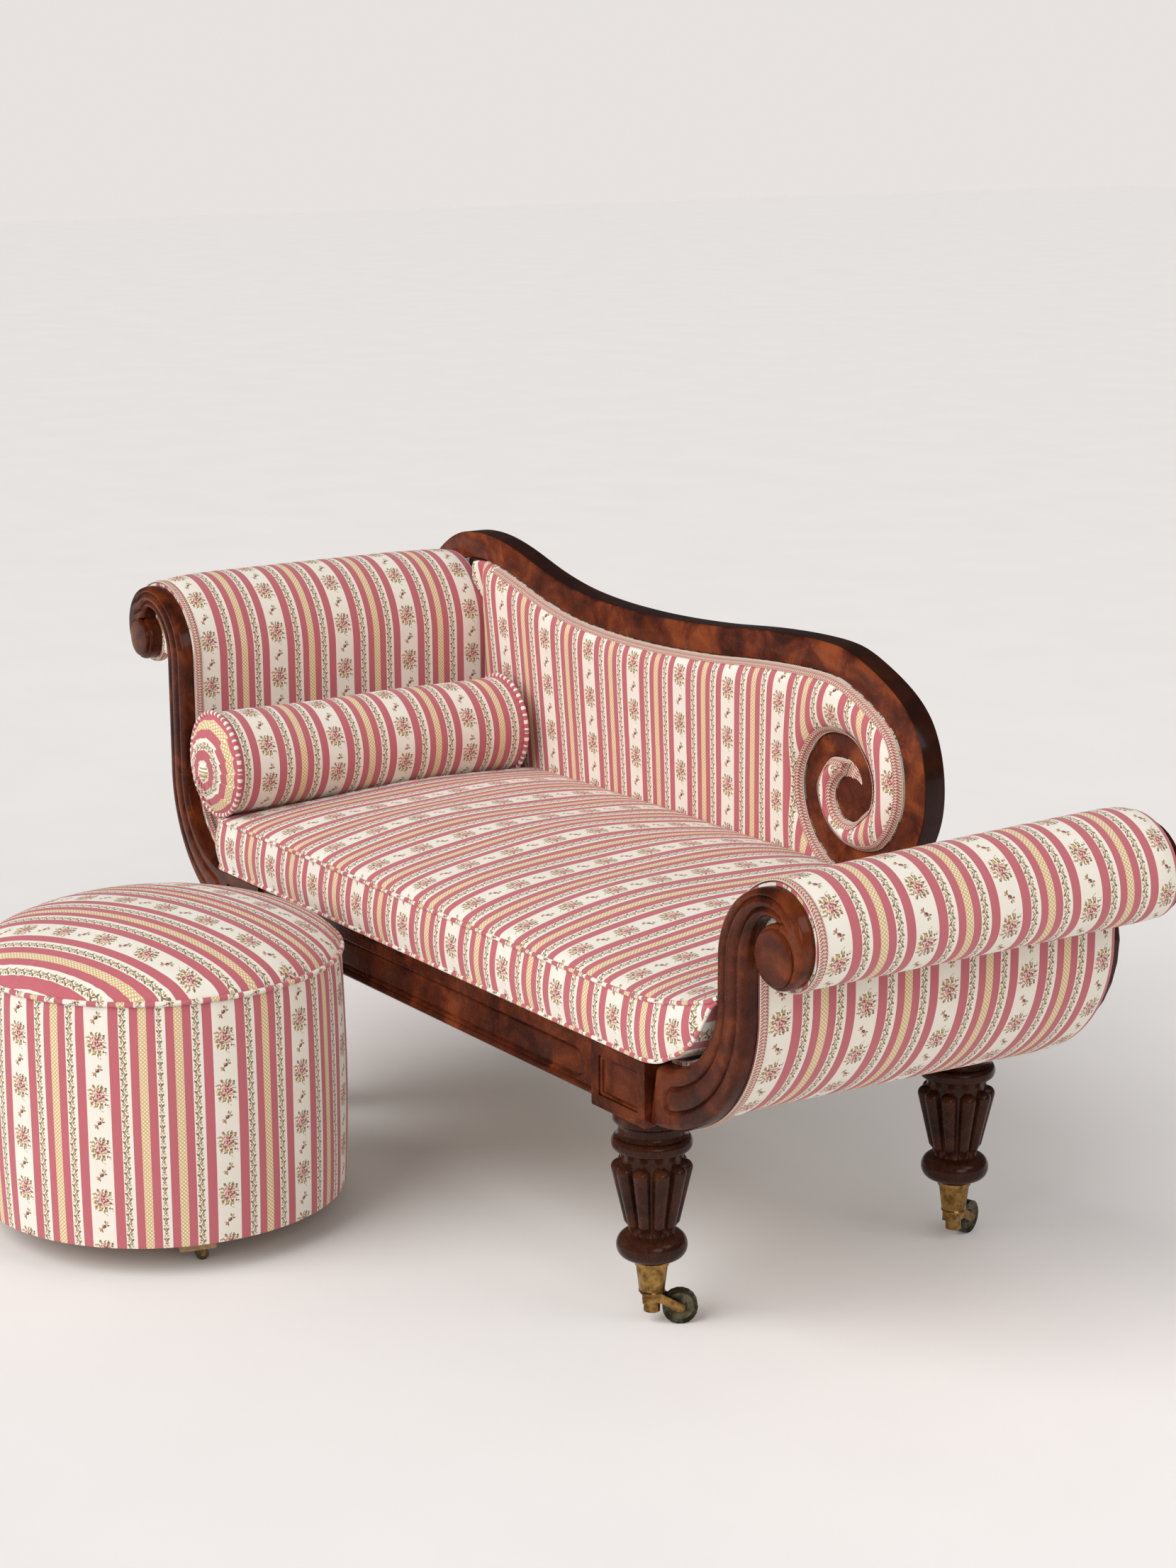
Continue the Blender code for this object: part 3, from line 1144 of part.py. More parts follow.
def pouf():
    """A drum with a crowned top on a base board, foot blocks and small casters."""
    body = place(bpy.data.objects.new("pouf_origin", None))
    reach = POUF_RADIUS + POUF_BELLY
    body.location = (-LEG_PITCH_X * POUF_PLACE_SHARE, BLOCK_FRONT - POUF_GAP - reach, 0.0)
    base_radius = POUF_RADIUS - BASE_INSET
    base_top = POUF_LEG + BASE_THICKNESS
    seam = POUF_LEG + POUF_SIDE
    cylinder("pouf_base_board", base_radius, (0, 0, POUF_LEG), (0, 0, base_top), POUF_SEGMENTS,
             BEECH, body)
    lathe("pouf_cover", [
        (0.0, seam - FIT),
        (POUF_RADIUS - POUF_BELLY / 2, seam - FIT),
        (POUF_RADIUS, seam - POUF_BELLY * 3),
        (reach, POUF_LEG + POUF_SIDE / 2),
        (POUF_RADIUS, POUF_LEG + POUF_BELLY * 3),
        (POUF_RADIUS - POUF_BELLY, POUF_LEG),
        (base_radius + FIT, POUF_LEG),
        (base_radius + FIT, base_top + FIT),
        (0.0, base_top + FIT),
    ], POUF_SEGMENTS, FABRIC, body)
    crown = [(0.0, seam + POUF_CROWN)]
    for share in POUF_CROWN_SHARES:
        crown.append((POUF_RADIUS * share, seam + POUF_CROWN * (1 - share ** 2) ** POUF_CROWN_POWER))
    crown += [
        (POUF_RADIUS + POUF_BELLY / 4, seam + POUF_BELLY),
        (POUF_RADIUS - POUF_BELLY / 2, seam),
        (0.0, seam),
    ]
    lathe("pouf_top", crown, POUF_SEGMENTS, FABRIC, body)
    pouf_feet(body, base_radius - FOOT_BLOCK_INSET)


def pouf_feet(body, reach):
    """Four foot blocks under the base board, each on a small swivel caster."""
    block_top = POUF_LEG - FIT
    plate_top = block_top - FOOT_BLOCK_HEIGHT - FIT
    half_width = POUF_WHEEL_WIDTH / 2
    wheel = wheel_mesh("pouf_wheel", [
        (POUF_AXLE_RADIUS + AXLE_CLEARANCE, half_width),
        (POUF_WHEEL_RADIUS, half_width),
    ], POUF_WHEEL_SEGMENTS)
    axle_z = POUF_WHEEL_RADIUS * math.cos(math.pi / POUF_WHEEL_SEGMENTS)
    middle = plate_top - POUF_PLATE / 2
    low = (plate_top - POUF_PLATE + 2 * POUF_WHEEL_RADIUS) / 2
    far = POUF_TRAIL + POUF_FORK_EYE
    outline = [(-POUF_FORK_EYE, low), (-POUF_FORK_EYE, middle), (far, middle)]
    outline += arc((POUF_TRAIL, axle_z), POUF_FORK_EYE, 0, -180, step=EYE_STEP)
    outline.append((POUF_TRAIL - POUF_FORK_EYE, low))
    fork = fork_mesh(
        "pouf_fork", (POUF_PLATE_RADIUS, plate_top, POUF_PLATE), (POUF_FORK_EYE, low),
        (half_width + SIDE_CLEARANCE, POUF_FORK_ARM), outline, (POUF_TRAIL, axle_z, POUF_AXLE_RADIUS))
    for i, trail in enumerate(POUF_TRAIL_ANGLES, 1):
        angle = math.radians(FOOT_BLOCK_ANGLE) + math.tau * (i - 1) / len(POUF_TRAIL_ANGLES)
        x, y = reach * math.cos(angle), reach * math.sin(angle)
        half = FOOT_BLOCK / 2
        block = box(f"pouf_block_{i}", (x - half, y - half, block_top - FOOT_BLOCK_HEIGHT),
                    (x + half, y + half, block_top), BEECH, body)
        block.rotation_euler = (0.0, 0.0, angle)
        easing = block.modifiers.new("eased edges", "BEVEL")
        easing.width = FOOT_BLOCK_EASING
        easing.segments = 1
        horn = place(bpy.data.objects.new(f"pouf_fork_{i}", fork), BRASS, body)
        horn.location = (x, y, 0.0)
        horn.rotation_euler = (0.0, 0.0, math.radians(trail))
        wheel_object = place(bpy.data.objects.new(f"pouf_wheel_{i}", wheel), DARK_BRASS, horn)
        wheel_object.location = (POUF_TRAIL, 0.0, axle_z)


def centre_on_origin():
    """Move the whole set so that its footprint is centred on the origin."""
    bpy.context.view_layer.update()
    graph = bpy.context.evaluated_depsgraph_get()
    low = Vector((math.inf, math.inf, math.inf))
    high = -low
    for obj in PARTS.objects:
        if obj.type == "MESH":
            shape = obj.evaluated_get(graph)
            for vertex in shape.data.vertices:
                point = shape.matrix_world @ vertex.co
                low = Vector(map(min, low, point))
                high = Vector(map(max, high, point))
    SET_ORIGIN.location = (-(low.x + high.x) / 2, -(low.y + high.y) / 2, -low.z)
    bpy.context.view_layer.update()
    print("overall size", [round(side, 4) for side in high - low])


corner_blocks()
front_rail()
plain_rails()
legs()
casters()
front_scrolls()
foot_back_scroll()
head_back_post()
end_padding()
back_frame()
back_padding()
back_lining()
back_supports()
seat_webbing()
seat_platform()
seat_cushion()
bolster()
pouf()
centre_on_origin()
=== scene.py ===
"""Looks of the chaise longue and its pouf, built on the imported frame.

Shapes are worked out from the front leg at the foot end and then moved to the frame's origin.
Every fabric piece has a map named cloth: u in metres across the stripes, v in metres along them.
"""
import itertools
import math
from types import SimpleNamespace

import bmesh
import bpy
import numpy as np
from mathutils import Matrix, Vector


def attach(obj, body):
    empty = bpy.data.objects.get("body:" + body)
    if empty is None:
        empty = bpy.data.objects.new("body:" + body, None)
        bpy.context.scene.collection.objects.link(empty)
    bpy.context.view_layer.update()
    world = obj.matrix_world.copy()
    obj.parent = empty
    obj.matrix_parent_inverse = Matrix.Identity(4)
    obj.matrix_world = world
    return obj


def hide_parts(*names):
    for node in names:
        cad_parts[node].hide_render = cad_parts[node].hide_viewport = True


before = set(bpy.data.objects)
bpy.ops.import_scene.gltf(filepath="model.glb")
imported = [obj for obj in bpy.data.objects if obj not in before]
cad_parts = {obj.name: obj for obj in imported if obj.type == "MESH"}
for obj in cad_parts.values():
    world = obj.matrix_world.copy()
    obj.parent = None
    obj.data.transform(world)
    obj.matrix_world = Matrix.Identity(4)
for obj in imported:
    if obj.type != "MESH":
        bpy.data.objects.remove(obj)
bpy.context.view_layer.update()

ORIGIN = Vector((0.550568, 0.017203, 0.0))

# Sizes taken from the frame's source. STEM is where a member stands upright, BUTT where it meets
# the corner block, POST_X where the band's post begins and CLEAR the gap between fitted pieces.
LEG_X = 1.085
LEG_Y = 0.540
RAIL_TOP = 0.400
BLOCK_X, BLOCK_HEIGHT, SUNK_MARGIN = 0.126, 0.091, 0.017
BLOCK_FRONT = -0.056
RAIL_LOW, RAIL_BEAD = 0.318, 0.0055
RAIL_PANEL = (-0.992, -0.093, 0.333, 0.375)
MEMBER_FRONT = -0.047
MEMBER_BACK = -0.0235
BACK_FACE = 0.596
BAND_FRONT, BAND_BACK = 0.549, 0.587
PANEL_FRONT = 0.535
PANEL_REAR = 0.571
POST_X = -1.26
SPIRAL_EYE, CHANNEL_END = (-0.262, 0.623), (-0.2570, 0.6545)
SEAT_FLOOR = 0.4043
STEM = 0.206
BUTT = 0.0633
CLEAR = 0.0003
CROWN_R, HOOK_R, TURN_R = 0.113, 0.070, 0.058
EYE_RIM = 0.006
CORNERS = {
    "foot_front": (0.0, 0.0), "foot_back": (0.0, LEG_Y),
    "head_front": (-LEG_X, 0.0), "head_back": (-LEG_X, LEG_Y)}
ENDS = {
    "foot": SimpleNamespace(
        sweep=(0.0795, 0.5265), inner=0.1265, outer=(0.068, 0.511), reach=0.199, side=0.267,
        crown=(0.319, 0.579), hook=(0.3123, 0.6215), hook_from=99, eye=(0.3287, 0.6072), eye_r=0.043,
        eye_from=-73, gap=0.045, pad_crown=0.022, pad_side=0.021,
        swell=(0.0, 0.3, 0.45, 0.75, 0.95, 1.0, 0.6), back=BACK_FACE - 0.0217, stretch=0.98),
    "head": SimpleNamespace(
        sweep=(0.0725, 0.5335), inner=0.1335, outer=(0.036, 0.5345), reach=0.2245, side=0.2605,
        crown=(0.319, 0.722), hook=(0.3344, 0.7621), hook_from=69, eye=(0.3575, 0.7443), eye_r=0.037,
        eye_from=-58, gap=0.066, pad_crown=0.016, pad_side=0.006,
        swell=(0.0, 0.65, 0.9, 1.0, 1.0, 0.8, 0.5), back=BAND_FRONT, stretch=1.04),
}
PAD_LEAST, PAD_SINK = 0.004, 0.011
PAD_PLACES = (0.0, 0.045, 0.16, 0.5, 0.80, 0.955, 1.0)
PAD_SINKS = (0.0, 0.6, 1.0, 0.6, 0.2, 0.0, 0.0)
CUSHION_HEAD, CUSHION_FOOT = -1.170, 0.1996
CUSHION_FRONT, CUSHION_BACK = -0.058, 0.5347
CUSHION_WALL, CUSHION_CROWN, CUSHION_EDGE = 0.083, 0.045, 0.007
CUSHION_TAPER, PAD_GAP, ROLL_GAP = 0.170, 0.0051, 0.0041
ROLL_X, ROLL_Z, ROLL_R = -1.165, 0.5763, 0.084
ROLL_FRONT, ROLL_BACK = -0.062, 0.507
POUF_X, POUF_Y, POUF_R = -0.764925, -0.360, 0.272
POUF_LOW, POUF_SEAM, POUF_CROWN = 0.045, 0.408, 0.078

# Trim and the fabric's pattern
REPEAT = 0.1325
FLORAL_CENTRE = 0.0178
BOUQUET = 0.0775
GIMP, CORD_R = 0.013, 0.0011
THIN_PIPING, THICK_PIPING = 0.0031, 0.0040

# Where the stripes fall on each piece, in metres
PAD_CLOTH, BACK_CLOTH = 0.0105, 0.035
CUSHION_FLORAL, CUSHION_REPEAT = -0.1367, 0.1375
ROLL_FLORAL, ROLL_END_CLOTH, ROLL_PIPING_CLOTH = 0.066, 0.0990, 0.1248
POUF_CLOTH, POUF_JOIN, POUF_TOP_CLOTH = 0.0310, 0.1829, 0.1546


# Node materials

class Value:
    """A shader socket that can be used in arithmetic."""

    def __init__(self, tree, socket):
        self.tree, self.socket = tree, socket

    def of(self, kind, *others):
        return maths(self.tree, kind, self, *others)

    def __add__(self, other):
        return self.of("ADD", other)

    def __sub__(self, other):
        return self.of("SUBTRACT", other)

    def __mul__(self, other):
        return self.of("MULTIPLY", other)

    def __truediv__(self, other):
        return self.of("DIVIDE", other)

    def below(self, edge):
        return self.of("LESS_THAN", edge)


def plug(tree, source, socket):
    if isinstance(source, Value):
        tree.links.new(source.socket, socket)
    elif isinstance(source, tuple) and len(source) == 3 and socket.type == "RGBA":
        socket.default_value = (*source, 1.0)
    else:
        socket.default_value = source


def maths(tree, kind, *values):
    node = tree.nodes.new("ShaderNodeMath")
    node.operation = kind
    for socket, value in zip(node.inputs, values):
        plug(tree, value, socket)
    return Value(tree, node.outputs[0])


def vector(tree, x, y, z=0.0):
    node = tree.nodes.new("ShaderNodeCombineXYZ")
    for socket, value in zip(node.inputs, (x, y, z)):
        plug(tree, value, socket)
    return Value(tree, node.outputs[0])


def parts(value):
    node = value.tree.nodes.new("ShaderNodeSeparateXYZ")
    plug(value.tree, value, node.inputs[0])
    return [Value(value.tree, socket) for socket in node.outputs]


def noise(place, scale, detail=3.0, roughness=0.55, distortion=0.0):
    node = place.tree.nodes.new("ShaderNodeTexNoise")
    plug(place.tree, place, node.inputs["Vector"])
    node.inputs["Scale"].default_value = scale
    node.inputs["Detail"].default_value = detail
    node.inputs["Roughness"].default_value = roughness
    node.inputs["Distortion"].default_value = distortion
    return Value(place.tree, node.outputs["Fac"])


def cells(place, scale):
    node = place.tree.nodes.new("ShaderNodeTexVoronoi")
    plug(place.tree, place, node.inputs["Vector"])
    node.inputs["Scale"].default_value = scale
    return Value(place.tree, node.outputs["Color"])


def ramp(value, stops, mode="LINEAR"):
    node = value.tree.nodes.new("ShaderNodeValToRGB")
    node.color_ramp.interpolation = mode
    elements = node.color_ramp.elements
    while len(elements) < len(stops):
        elements.new(1.0)
    for element, (place, colour) in zip(elements, stops):
        element.position = place
        element.color = (*colour, 1.0)
    plug(value.tree, value, node.inputs[0])
    return Value(value.tree, node.outputs[0])


def span(value, low, high, to_low=0.0, to_high=1.0):
    node = value.tree.nodes.new("ShaderNodeMapRange")
    for socket, number in zip(node.inputs, (value, low, high, to_low, to_high)):
        plug(value.tree, number, socket)
    return Value(value.tree, node.outputs[0])


def mix(share, a, b, blend="MIX"):
    node = share.tree.nodes.new("ShaderNodeMix")
    node.data_type = "RGBA"
    node.blend_type = blend
    plug(share.tree, share, node.inputs[0])
    for socket, colour in zip((node.inputs[6], node.inputs[7]), (a, b)):
        plug(share.tree, colour, socket)
    return Value(share.tree, node.outputs[2])


def finish(name, **constants):
    """A new material with constant values on its shader: its tree and shader."""
    made = bpy.data.materials.new(name)
    made.use_nodes = True
    shader = made.node_tree.nodes["Principled BSDF"]
    for key, value in constants.items():
        shader.inputs[key.replace("_", " ")].default_value = value
    return made, made.node_tree, shader


def coordinates(tree, kind="Object"):
    if kind == "cloth":
        node = tree.nodes.new("ShaderNodeUVMap")
        node.uv_map = "cloth"
        return Value(tree, node.outputs[0])
    node = tree.nodes.new("ShaderNodeTexCoord")
    return Value(tree, node.outputs[kind])


def bump(shader, height, distance, strength=1.0):
    tree = height.tree
    node = tree.nodes.new("ShaderNodeBump")
    node.inputs["Distance"].default_value = distance
    node.inputs["Strength"].default_value = strength
    plug(tree, height, node.inputs["Height"])
    tree.links.new(node.outputs[0], shader.inputs["Normal"])


CREAM = (0.86, 0.81, 0.71)
ROSE = (0.520, 0.102, 0.130)
OLIVE = (0.165, 0.150, 0.058)
RUST = (0.46, 0.21, 0.11)
GOLD = (0.62, 0.43, 0.17)
PINK = (0.72, 0.37, 0.31)
WINE = (0.16, 0.022, 0.045)


def ellipse(x, y, rx, ry):
    """Squared distance from the middle of an ellipse, 1 on its edge."""
    return (x / rx).of("POWER", 2.0) + (y / ry).of("POWER", 2.0)


def petal(x, y, place, size, turn=0.0):
    """Where a leaf or petal lies, turned by an angle in degrees."""
    c, s = math.cos(math.radians(turn)), math.sin(math.radians(turn))
    x, y = x - place[0], y - place[1]
    return ellipse(x * c + y * s, y * c - x * s, *size).below(1.0)


def striped_fabric():
    made, tree, shader = finish("striped_fabric_look", Roughness=0.78, Sheen_Weight=0.15)
    u, v, _ = parts(coordinates(tree, "cloth"))
    share = (u / REPEAT).of("FRACT")
    colour = ramp(share, [
        (0.0, CREAM), (0.2688, ROSE), (0.3763, CREAM), (0.4982, ROSE), (0.5914, CREAM),
        (0.6774, ROSE), (0.7706, CREAM), (0.8925, ROSE)], "CONSTANT")
    across = share * REPEAT
    # vines on the two narrow cream stripes
    wave = (v * (math.tau / 0.0155)).of("SINE")
    vine_x = (across - 0.0826).of("ABSOLUTE") - 0.0265
    stem = (vine_x - wave * 0.0017).of("ABSOLUTE").below(0.0008)
    colour = mix(stem, colour, OLIVE)
    vine_x = vine_x * wave.of("SIGN")
    vine_y = ((v / 0.00775).of("FRACT") - 0.5) * 0.00775
    for place, size, turn, tone in (
            ((0.0033, 0.0004), (0.0027, 0.0014), 50, OLIVE),
            ((-0.0020, 0.0019), (0.0023, 0.0011), -40, OLIVE),
            ((-0.0030, -0.0014), (0.0023, 0.0015), 30, GOLD),
            ((0.0015, -0.0027), (0.0016, 0.0012), 0, RUST)):
        colour = mix(petal(vine_x, vine_y, place, size, turn), colour, tone)
    # cream dots on gold
    dots_x = across - 0.0840
    rises = (((dots_x + v) / 0.0058).of("FRACT") - 0.5).of("ABSOLUTE")
    falls = (((dots_x - v) / 0.0058).of("FRACT") - 0.5).of("ABSOLUTE")
    gold = dots_x.of("ABSOLUTE").below(0.0058)
    colour = mix(gold, colour, GOLD)
    colour = mix(rises.of("MAXIMUM", falls).below(0.31) * gold, colour, (0.88, 0.79, 0.58))
    # bouquets: dabs of blooms above, with leaves spreading out round them
    x = across - FLORAL_CENTRE
    y = ((v / BOUQUET).of("FRACT") - 0.5) * BOUQUET
    place = vector(tree, x, y, 0.3)
    pick, keep, _ = parts(cells(place, 390.0))
    rough = noise(place, 500.0, 2.0) - 0.5
    coarse = noise(place, 150.0, 1.0) - 0.5
    reach = ellipse(x - 0.0004, y + 0.0006, 0.0152, 0.0192).of("SQRT") + coarse * 1.2 + rough * 0.4
    angle = maths(tree, "ARCTAN2", y - 0.0030, x)
    spray = (angle * 13.0 + coarse * 10.0).of("SINE") + rough * 1.4
    leafy = spray.of("GREATER_THAN", -0.35) * reach.below(1.0) * keep.below(0.88)
    leaves = ramp(pick, [(0.0, (0.065, 0.068, 0.022)), (0.30, (0.30, 0.24, 0.07)), (0.50, GOLD),
                         (0.74, (0.74, 0.52, 0.20)), (0.88, RUST)], "CONSTANT")
    colour = mix(leafy, colour, leaves)
    for where, size, swell in (((-0.0022, 0.0050), 0.0066, 1.1), ((0.0040, -0.0010), 0.0054, 1.0),
                               ((-0.0050, -0.0046), 0.0038, 0.8), ((0.0058, 0.0098), 0.0030, 0.8)):
        away = ellipse(x - where[0], y - where[1], size, size * swell).of("SQRT") + rough * 0.7
        petals = ramp(pick, [(0.0, PINK), (0.28, (0.80, 0.52, 0.42)), (0.44, (0.38, 0.085, 0.095)),
                             (0.66, WINE), (0.88, (0.84, 0.70, 0.56))], "CONSTANT")
        colour = mix(away.below(1.0), colour, petals)
    # sprigs midway between the bouquets
    y = ((v / BOUQUET + 0.5).of("FRACT") - 0.5) * BOUQUET
    for place, size, turn, tone in (
            ((0.0, 0.0), (0.0100, 0.0006), 50, OLIVE),
            ((0.0046, 0.0056), (0.0032, 0.0016), 62, GOLD),
            ((0.0060, 0.0020), (0.0023, 0.0012), 5, OLIVE),
            ((0.0018, 0.0072), (0.0022, 0.0012), 95, OLIVE),
            ((0.0003, 0.0004), (0.0032, 0.0027), 20, WINE),
            ((-0.0015, 0.0021), (0.0018, 0.0016), 0, PINK),
            ((-0.0044, -0.0050), (0.0032, 0.0017), 45, RUST),
            ((-0.0026, -0.0072), (0.0020, 0.0011), 100, OLIVE),
            ((-0.0066, -0.0030), (0.0021, 0.0012), 10, GOLD)):
        colour = mix(petal(x, y, place, size, turn), colour, tone)
    tone = noise(vector(tree, u, v), 9.0, 4.0)
    colour = mix(span(tone, 0.3, 0.7, 0.0, 0.10), colour, (0.55, 0.46, 0.38), "MULTIPLY")
    rib = (u * (math.tau / 0.0019)).of("SINE") * 0.5 + 0.5
    colour = mix(rib * 0.08, colour, (0.86, 0.80, 0.72), "SCREEN")
    plug(tree, colour, shader.inputs["Base Color"])
    weave = (u * (math.tau / 0.0011)).of("SINE") * (v * (math.tau / 0.0015)).of("SINE")
    folds = noise(vector(tree, u * 0.8, v * 0.3), 24.0, 2.0) * 9.0
    bump(shader, weave + noise(vector(tree, u, v), 900.0, 2.0) + folds, 0.0003, 0.5)
    return made


def mahogany(name, deep, middle, light, mottle, painted_side_shade=False):
    """Polished wood: cloudy figure and fine grain in three tones. Optionally, faces turned away from
    the front are darkened to near-black as painted shade.
    """
    made, tree, shader = finish(
        name, Roughness=0.30, Coat_Weight=0.2, Coat_Roughness=0.10, Specular_IOR_Level=0.08)
    place = coordinates(tree)
    x, y, z = parts(place)
    cloud = noise(place, 15.0, 3.0, 0.55, 0.8)
    grain = noise(vector(tree, x * 1.2, y * 4.0, z * 1.2), 90.0, 5.0, 0.65, 1.5)
    tone = cloud * mottle + grain * (1.0 - mottle)
    colour = ramp(tone, [(0.36, deep), (0.50, middle), (0.66, light)])
    # painted shade: faces whose normals turn away from the front are mixed towards near-black
    if painted_side_shade:
        facing = parts(coordinates(tree, "Normal"))[1]
        colour = mix(span(facing, -0.75, -0.35) * 0.9, colour, (0.012, 0.0045, 0.0032))
    plug(tree, colour, shader.inputs["Base Color"])
    plug(tree, span(grain, 0.3, 0.7, 0.18, 0.32), shader.inputs["Roughness"])
    bump(shader, grain, 0.0001, 0.10)
    return made


def metal(name, bright, dull, roughness):
    made, tree, shader = finish(name, Metallic=1.0, Roughness=roughness)
    place = coordinates(tree)
    stain = noise(place, 70.0, 5.0, 0.65)
    plug(tree, ramp(stain, [(0.38, dull), (0.60, bright)]), shader.inputs["Base Color"])
    plug(tree, span(stain, 0.3, 0.7, roughness + 0.18, roughness - 0.06), shader.inputs["Roughness"])
    bump(shader, noise(place, 600.0, 3.0), 0.0003, 0.3)
    return made


def plain(name, dark, light, roughness, scale, stretch=(1.0, 1.0, 1.0)):
    """Bare wood, cloth or webbing: two tones under a stretched noise."""
    made, tree, shader = finish(name, Roughness=roughness)
    x, y, z = parts(coordinates(tree))
    tone = noise(vector(tree, x * stretch[0], y * stretch[1], z * stretch[2]), scale, 4.0)
    plug(tree, ramp(tone, [(0.35, dark), (0.65, light)]), shader.inputs["Base Color"])
    bump(shader, tone, 0.0004, 0.5)
    return made


def gimp_braid():
    made, tree, shader = finish("gimp_braid_look", Roughness=0.8, Sheen_Weight=0.1)
    u, v, _ = parts(coordinates(tree, "cloth"))
    fold = u.of("ABSOLUTE")
    loop = (v * (math.tau / 0.0047) + (fold * (math.tau / 0.0080)).of("SINE") * 2.2).of("SINE")
    row = (fold / 0.0065 - 0.50).of("ABSOLUTE") * 2.2
    colour = mix(span(loop * 0.8 + row - 0.45, -0.45, 0.45), (0.44, 0.135, 0.115), (0.80, 0.60, 0.49))
    plug(tree, colour, shader.inputs["Base Color"])
    bump(shader, loop + row * 2.0, 0.0009, 0.8)
    return made


def twisted_cord():
    made, tree, shader = finish("cord_look", Roughness=0.75)
    u, v, _ = parts(coordinates(tree, "cloth"))
    twist = ((v / 0.0032 + u / 0.008) * math.tau).of("SINE")
    plug(tree, mix(span(twist, -0.6, 0.6), (0.50, 0.40, 0.29), (0.82, 0.74, 0.60)),
         shader.inputs["Base Color"])
    bump(shader, twist, 0.0006, 0.7)
    return made


FABRIC = striped_fabric()
FIGURED = mahogany("mahogany_figured_look", (0.034, 0.0074, 0.0036), (0.100, 0.0195, 0.0072),
                   (0.235, 0.055, 0.0150), 0.78, True)
CARVED = mahogany("mahogany_carved_look", (0.027, 0.0062, 0.0030), (0.066, 0.0128, 0.0044),
                  (0.155, 0.033, 0.0085), 0.80)
TURNED = mahogany("mahogany_turned_look", (0.013, 0.0044, 0.0026), (0.031, 0.0092, 0.0044),
                  (0.070, 0.0210, 0.0084), 0.6)
BRASS = metal("aged_brass_look", (0.40, 0.235, 0.072), (0.16, 0.085, 0.028), 0.30)
DARK_BRASS = metal("dark_brass_look", (0.155, 0.140, 0.085), (0.050, 0.046, 0.032), 0.38)
BEECH = plain("beech_look", (0.27, 0.155, 0.075), (0.44, 0.29, 0.16), 0.6, 40.0, (0.4, 4.0, 4.0))
LINING = plain("lining_cloth_look", (0.30, 0.235, 0.165), (0.42, 0.335, 0.245), 0.9, 420.0)
JUTE = plain("jute_look", (0.26, 0.175, 0.095), (0.46, 0.34, 0.20), 0.95, 300.0)
BRAID = gimp_braid()
CORD = twisted_cord()
CAD_LOOKS = {
    "caster_cup": BRASS, "caster_fork": BRASS, "pouf_fork": BRASS, "caster_wheel": DARK_BRASS,
    "pouf_wheel": DARK_BRASS, "back_frame": FIGURED, "corner_block": CARVED, "front_rail": CARVED,
    "scroll_foot_back": TURNED, "head_back_post": TURNED, "leg": TURNED, "back_lining": LINING,
    "seat_platform": LINING, "seat_webbing": JUTE}


# Meshes

WELD = 0.000005


def clamp(share):
    return min(max(share, 0.0), 1.0)


def joined(*values):
    """Points from their coordinates, each of which is an array or a number."""
    return np.stack(np.broadcast_arrays(*values), axis=-1)


def lay_cloth(mesh, cloth):
    """Gives the mesh's corners their points' places on the cloth."""
    layer = mesh.uv_layers.new(name="cloth")
    corners = np.empty(len(mesh.loops), int)
    mesh.loops.foreach_get("vertex_index", corners)
    layer.data.foreach_set("uv", cloth[corners].ravel())


def build(name, points, faces, cloth=None):
    """A smooth mesh with its seams welded and its faces turned outwards."""
    mesh = bpy.data.meshes.new(name)
    mesh.from_pydata(points.tolist(), [], faces)
    if cloth is not None:
        lay_cloth(mesh, cloth)
    work = bmesh.new()
    work.from_mesh(mesh)
    bmesh.ops.remove_doubles(work, verts=work.verts, dist=WELD)
    bmesh.ops.recalc_face_normals(work, faces=work.faces)
    work.to_mesh(mesh)
    work.free()
    mesh.shade_smooth()
    return mesh


def grids(name, patches, sharp=None):
    """One mesh from grids of points, each with its cloth map, or None where it has no cloth.

    Edges that turn by more than sharp degrees stay sharp.
    """
    points, cloth, faces, first = [], [], [], 0
    for place, uv in patches:
        place = np.asarray(place, float)
        rows, columns = place.shape[:2]
        for r in range(rows - 1):
            for c in range(columns - 1):
                a = first + r * columns + c
                faces.append((a, a + 1, a + columns + 1, a + columns))
        first += rows * columns
        points.append(place.reshape(-1, 3))
        uv = np.zeros((rows, columns, 2)) if uv is None else np.asarray(uv, float)
        cloth.append(uv.reshape(-1, 2))
    mesh = build(name, np.vstack(points), faces, np.vstack(cloth))
    if sharp:
        mesh.set_sharp_from_angle(angle=math.radians(sharp))
    return mesh


def add(name, data, place=(0.0, 0.0, 0.0)):
    """A new object in the scene."""
    obj = bpy.data.objects.new(name, data)
    obj.location = place
    bpy.context.scene.collection.objects.link(obj)
    return obj


def show(name, mesh, look, body="frame", replaces=(), origin=ORIGIN):
    """A new piece of the object, in a look and on a body."""
    if not mesh.materials:
        mesh.materials.append(look)
    obj = add(name, mesh, origin)
    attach(obj, body)
    if replaces:
        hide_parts(*replaces)
    return obj


def fabric(name, patches, body, sharp=None, replaces=()):
    """A piece in the striped fabric."""
    return show(name, grids(name, patches, sharp), FABRIC, body, replaces)


def trim(name, patch, look):
    """A thin piece of trim on the frame."""
    show(name, grids(name, [patch]), look)


def runs_of(line):
    """The distance along a line at each of its points."""
    return np.concatenate(([0.0], np.cumsum(np.linalg.norm(np.diff(line, axis=0), axis=1))))


def resample(line, count, values=None):
    """A line's points, or the values at them, at even distances, and those distances."""
    line = np.asarray(line, float)
    runs = runs_of(line)
    along = np.linspace(0.0, runs[-1], count)
    columns = (line if values is None else values).T
    return np.column_stack([np.interp(along, runs, column) for column in columns]), along


def even(line, step):
    """The line's points at even distances of about a step."""
    return resample(line, max(2, int(round(runs_of(line)[-1] / step)) + 1))[0]


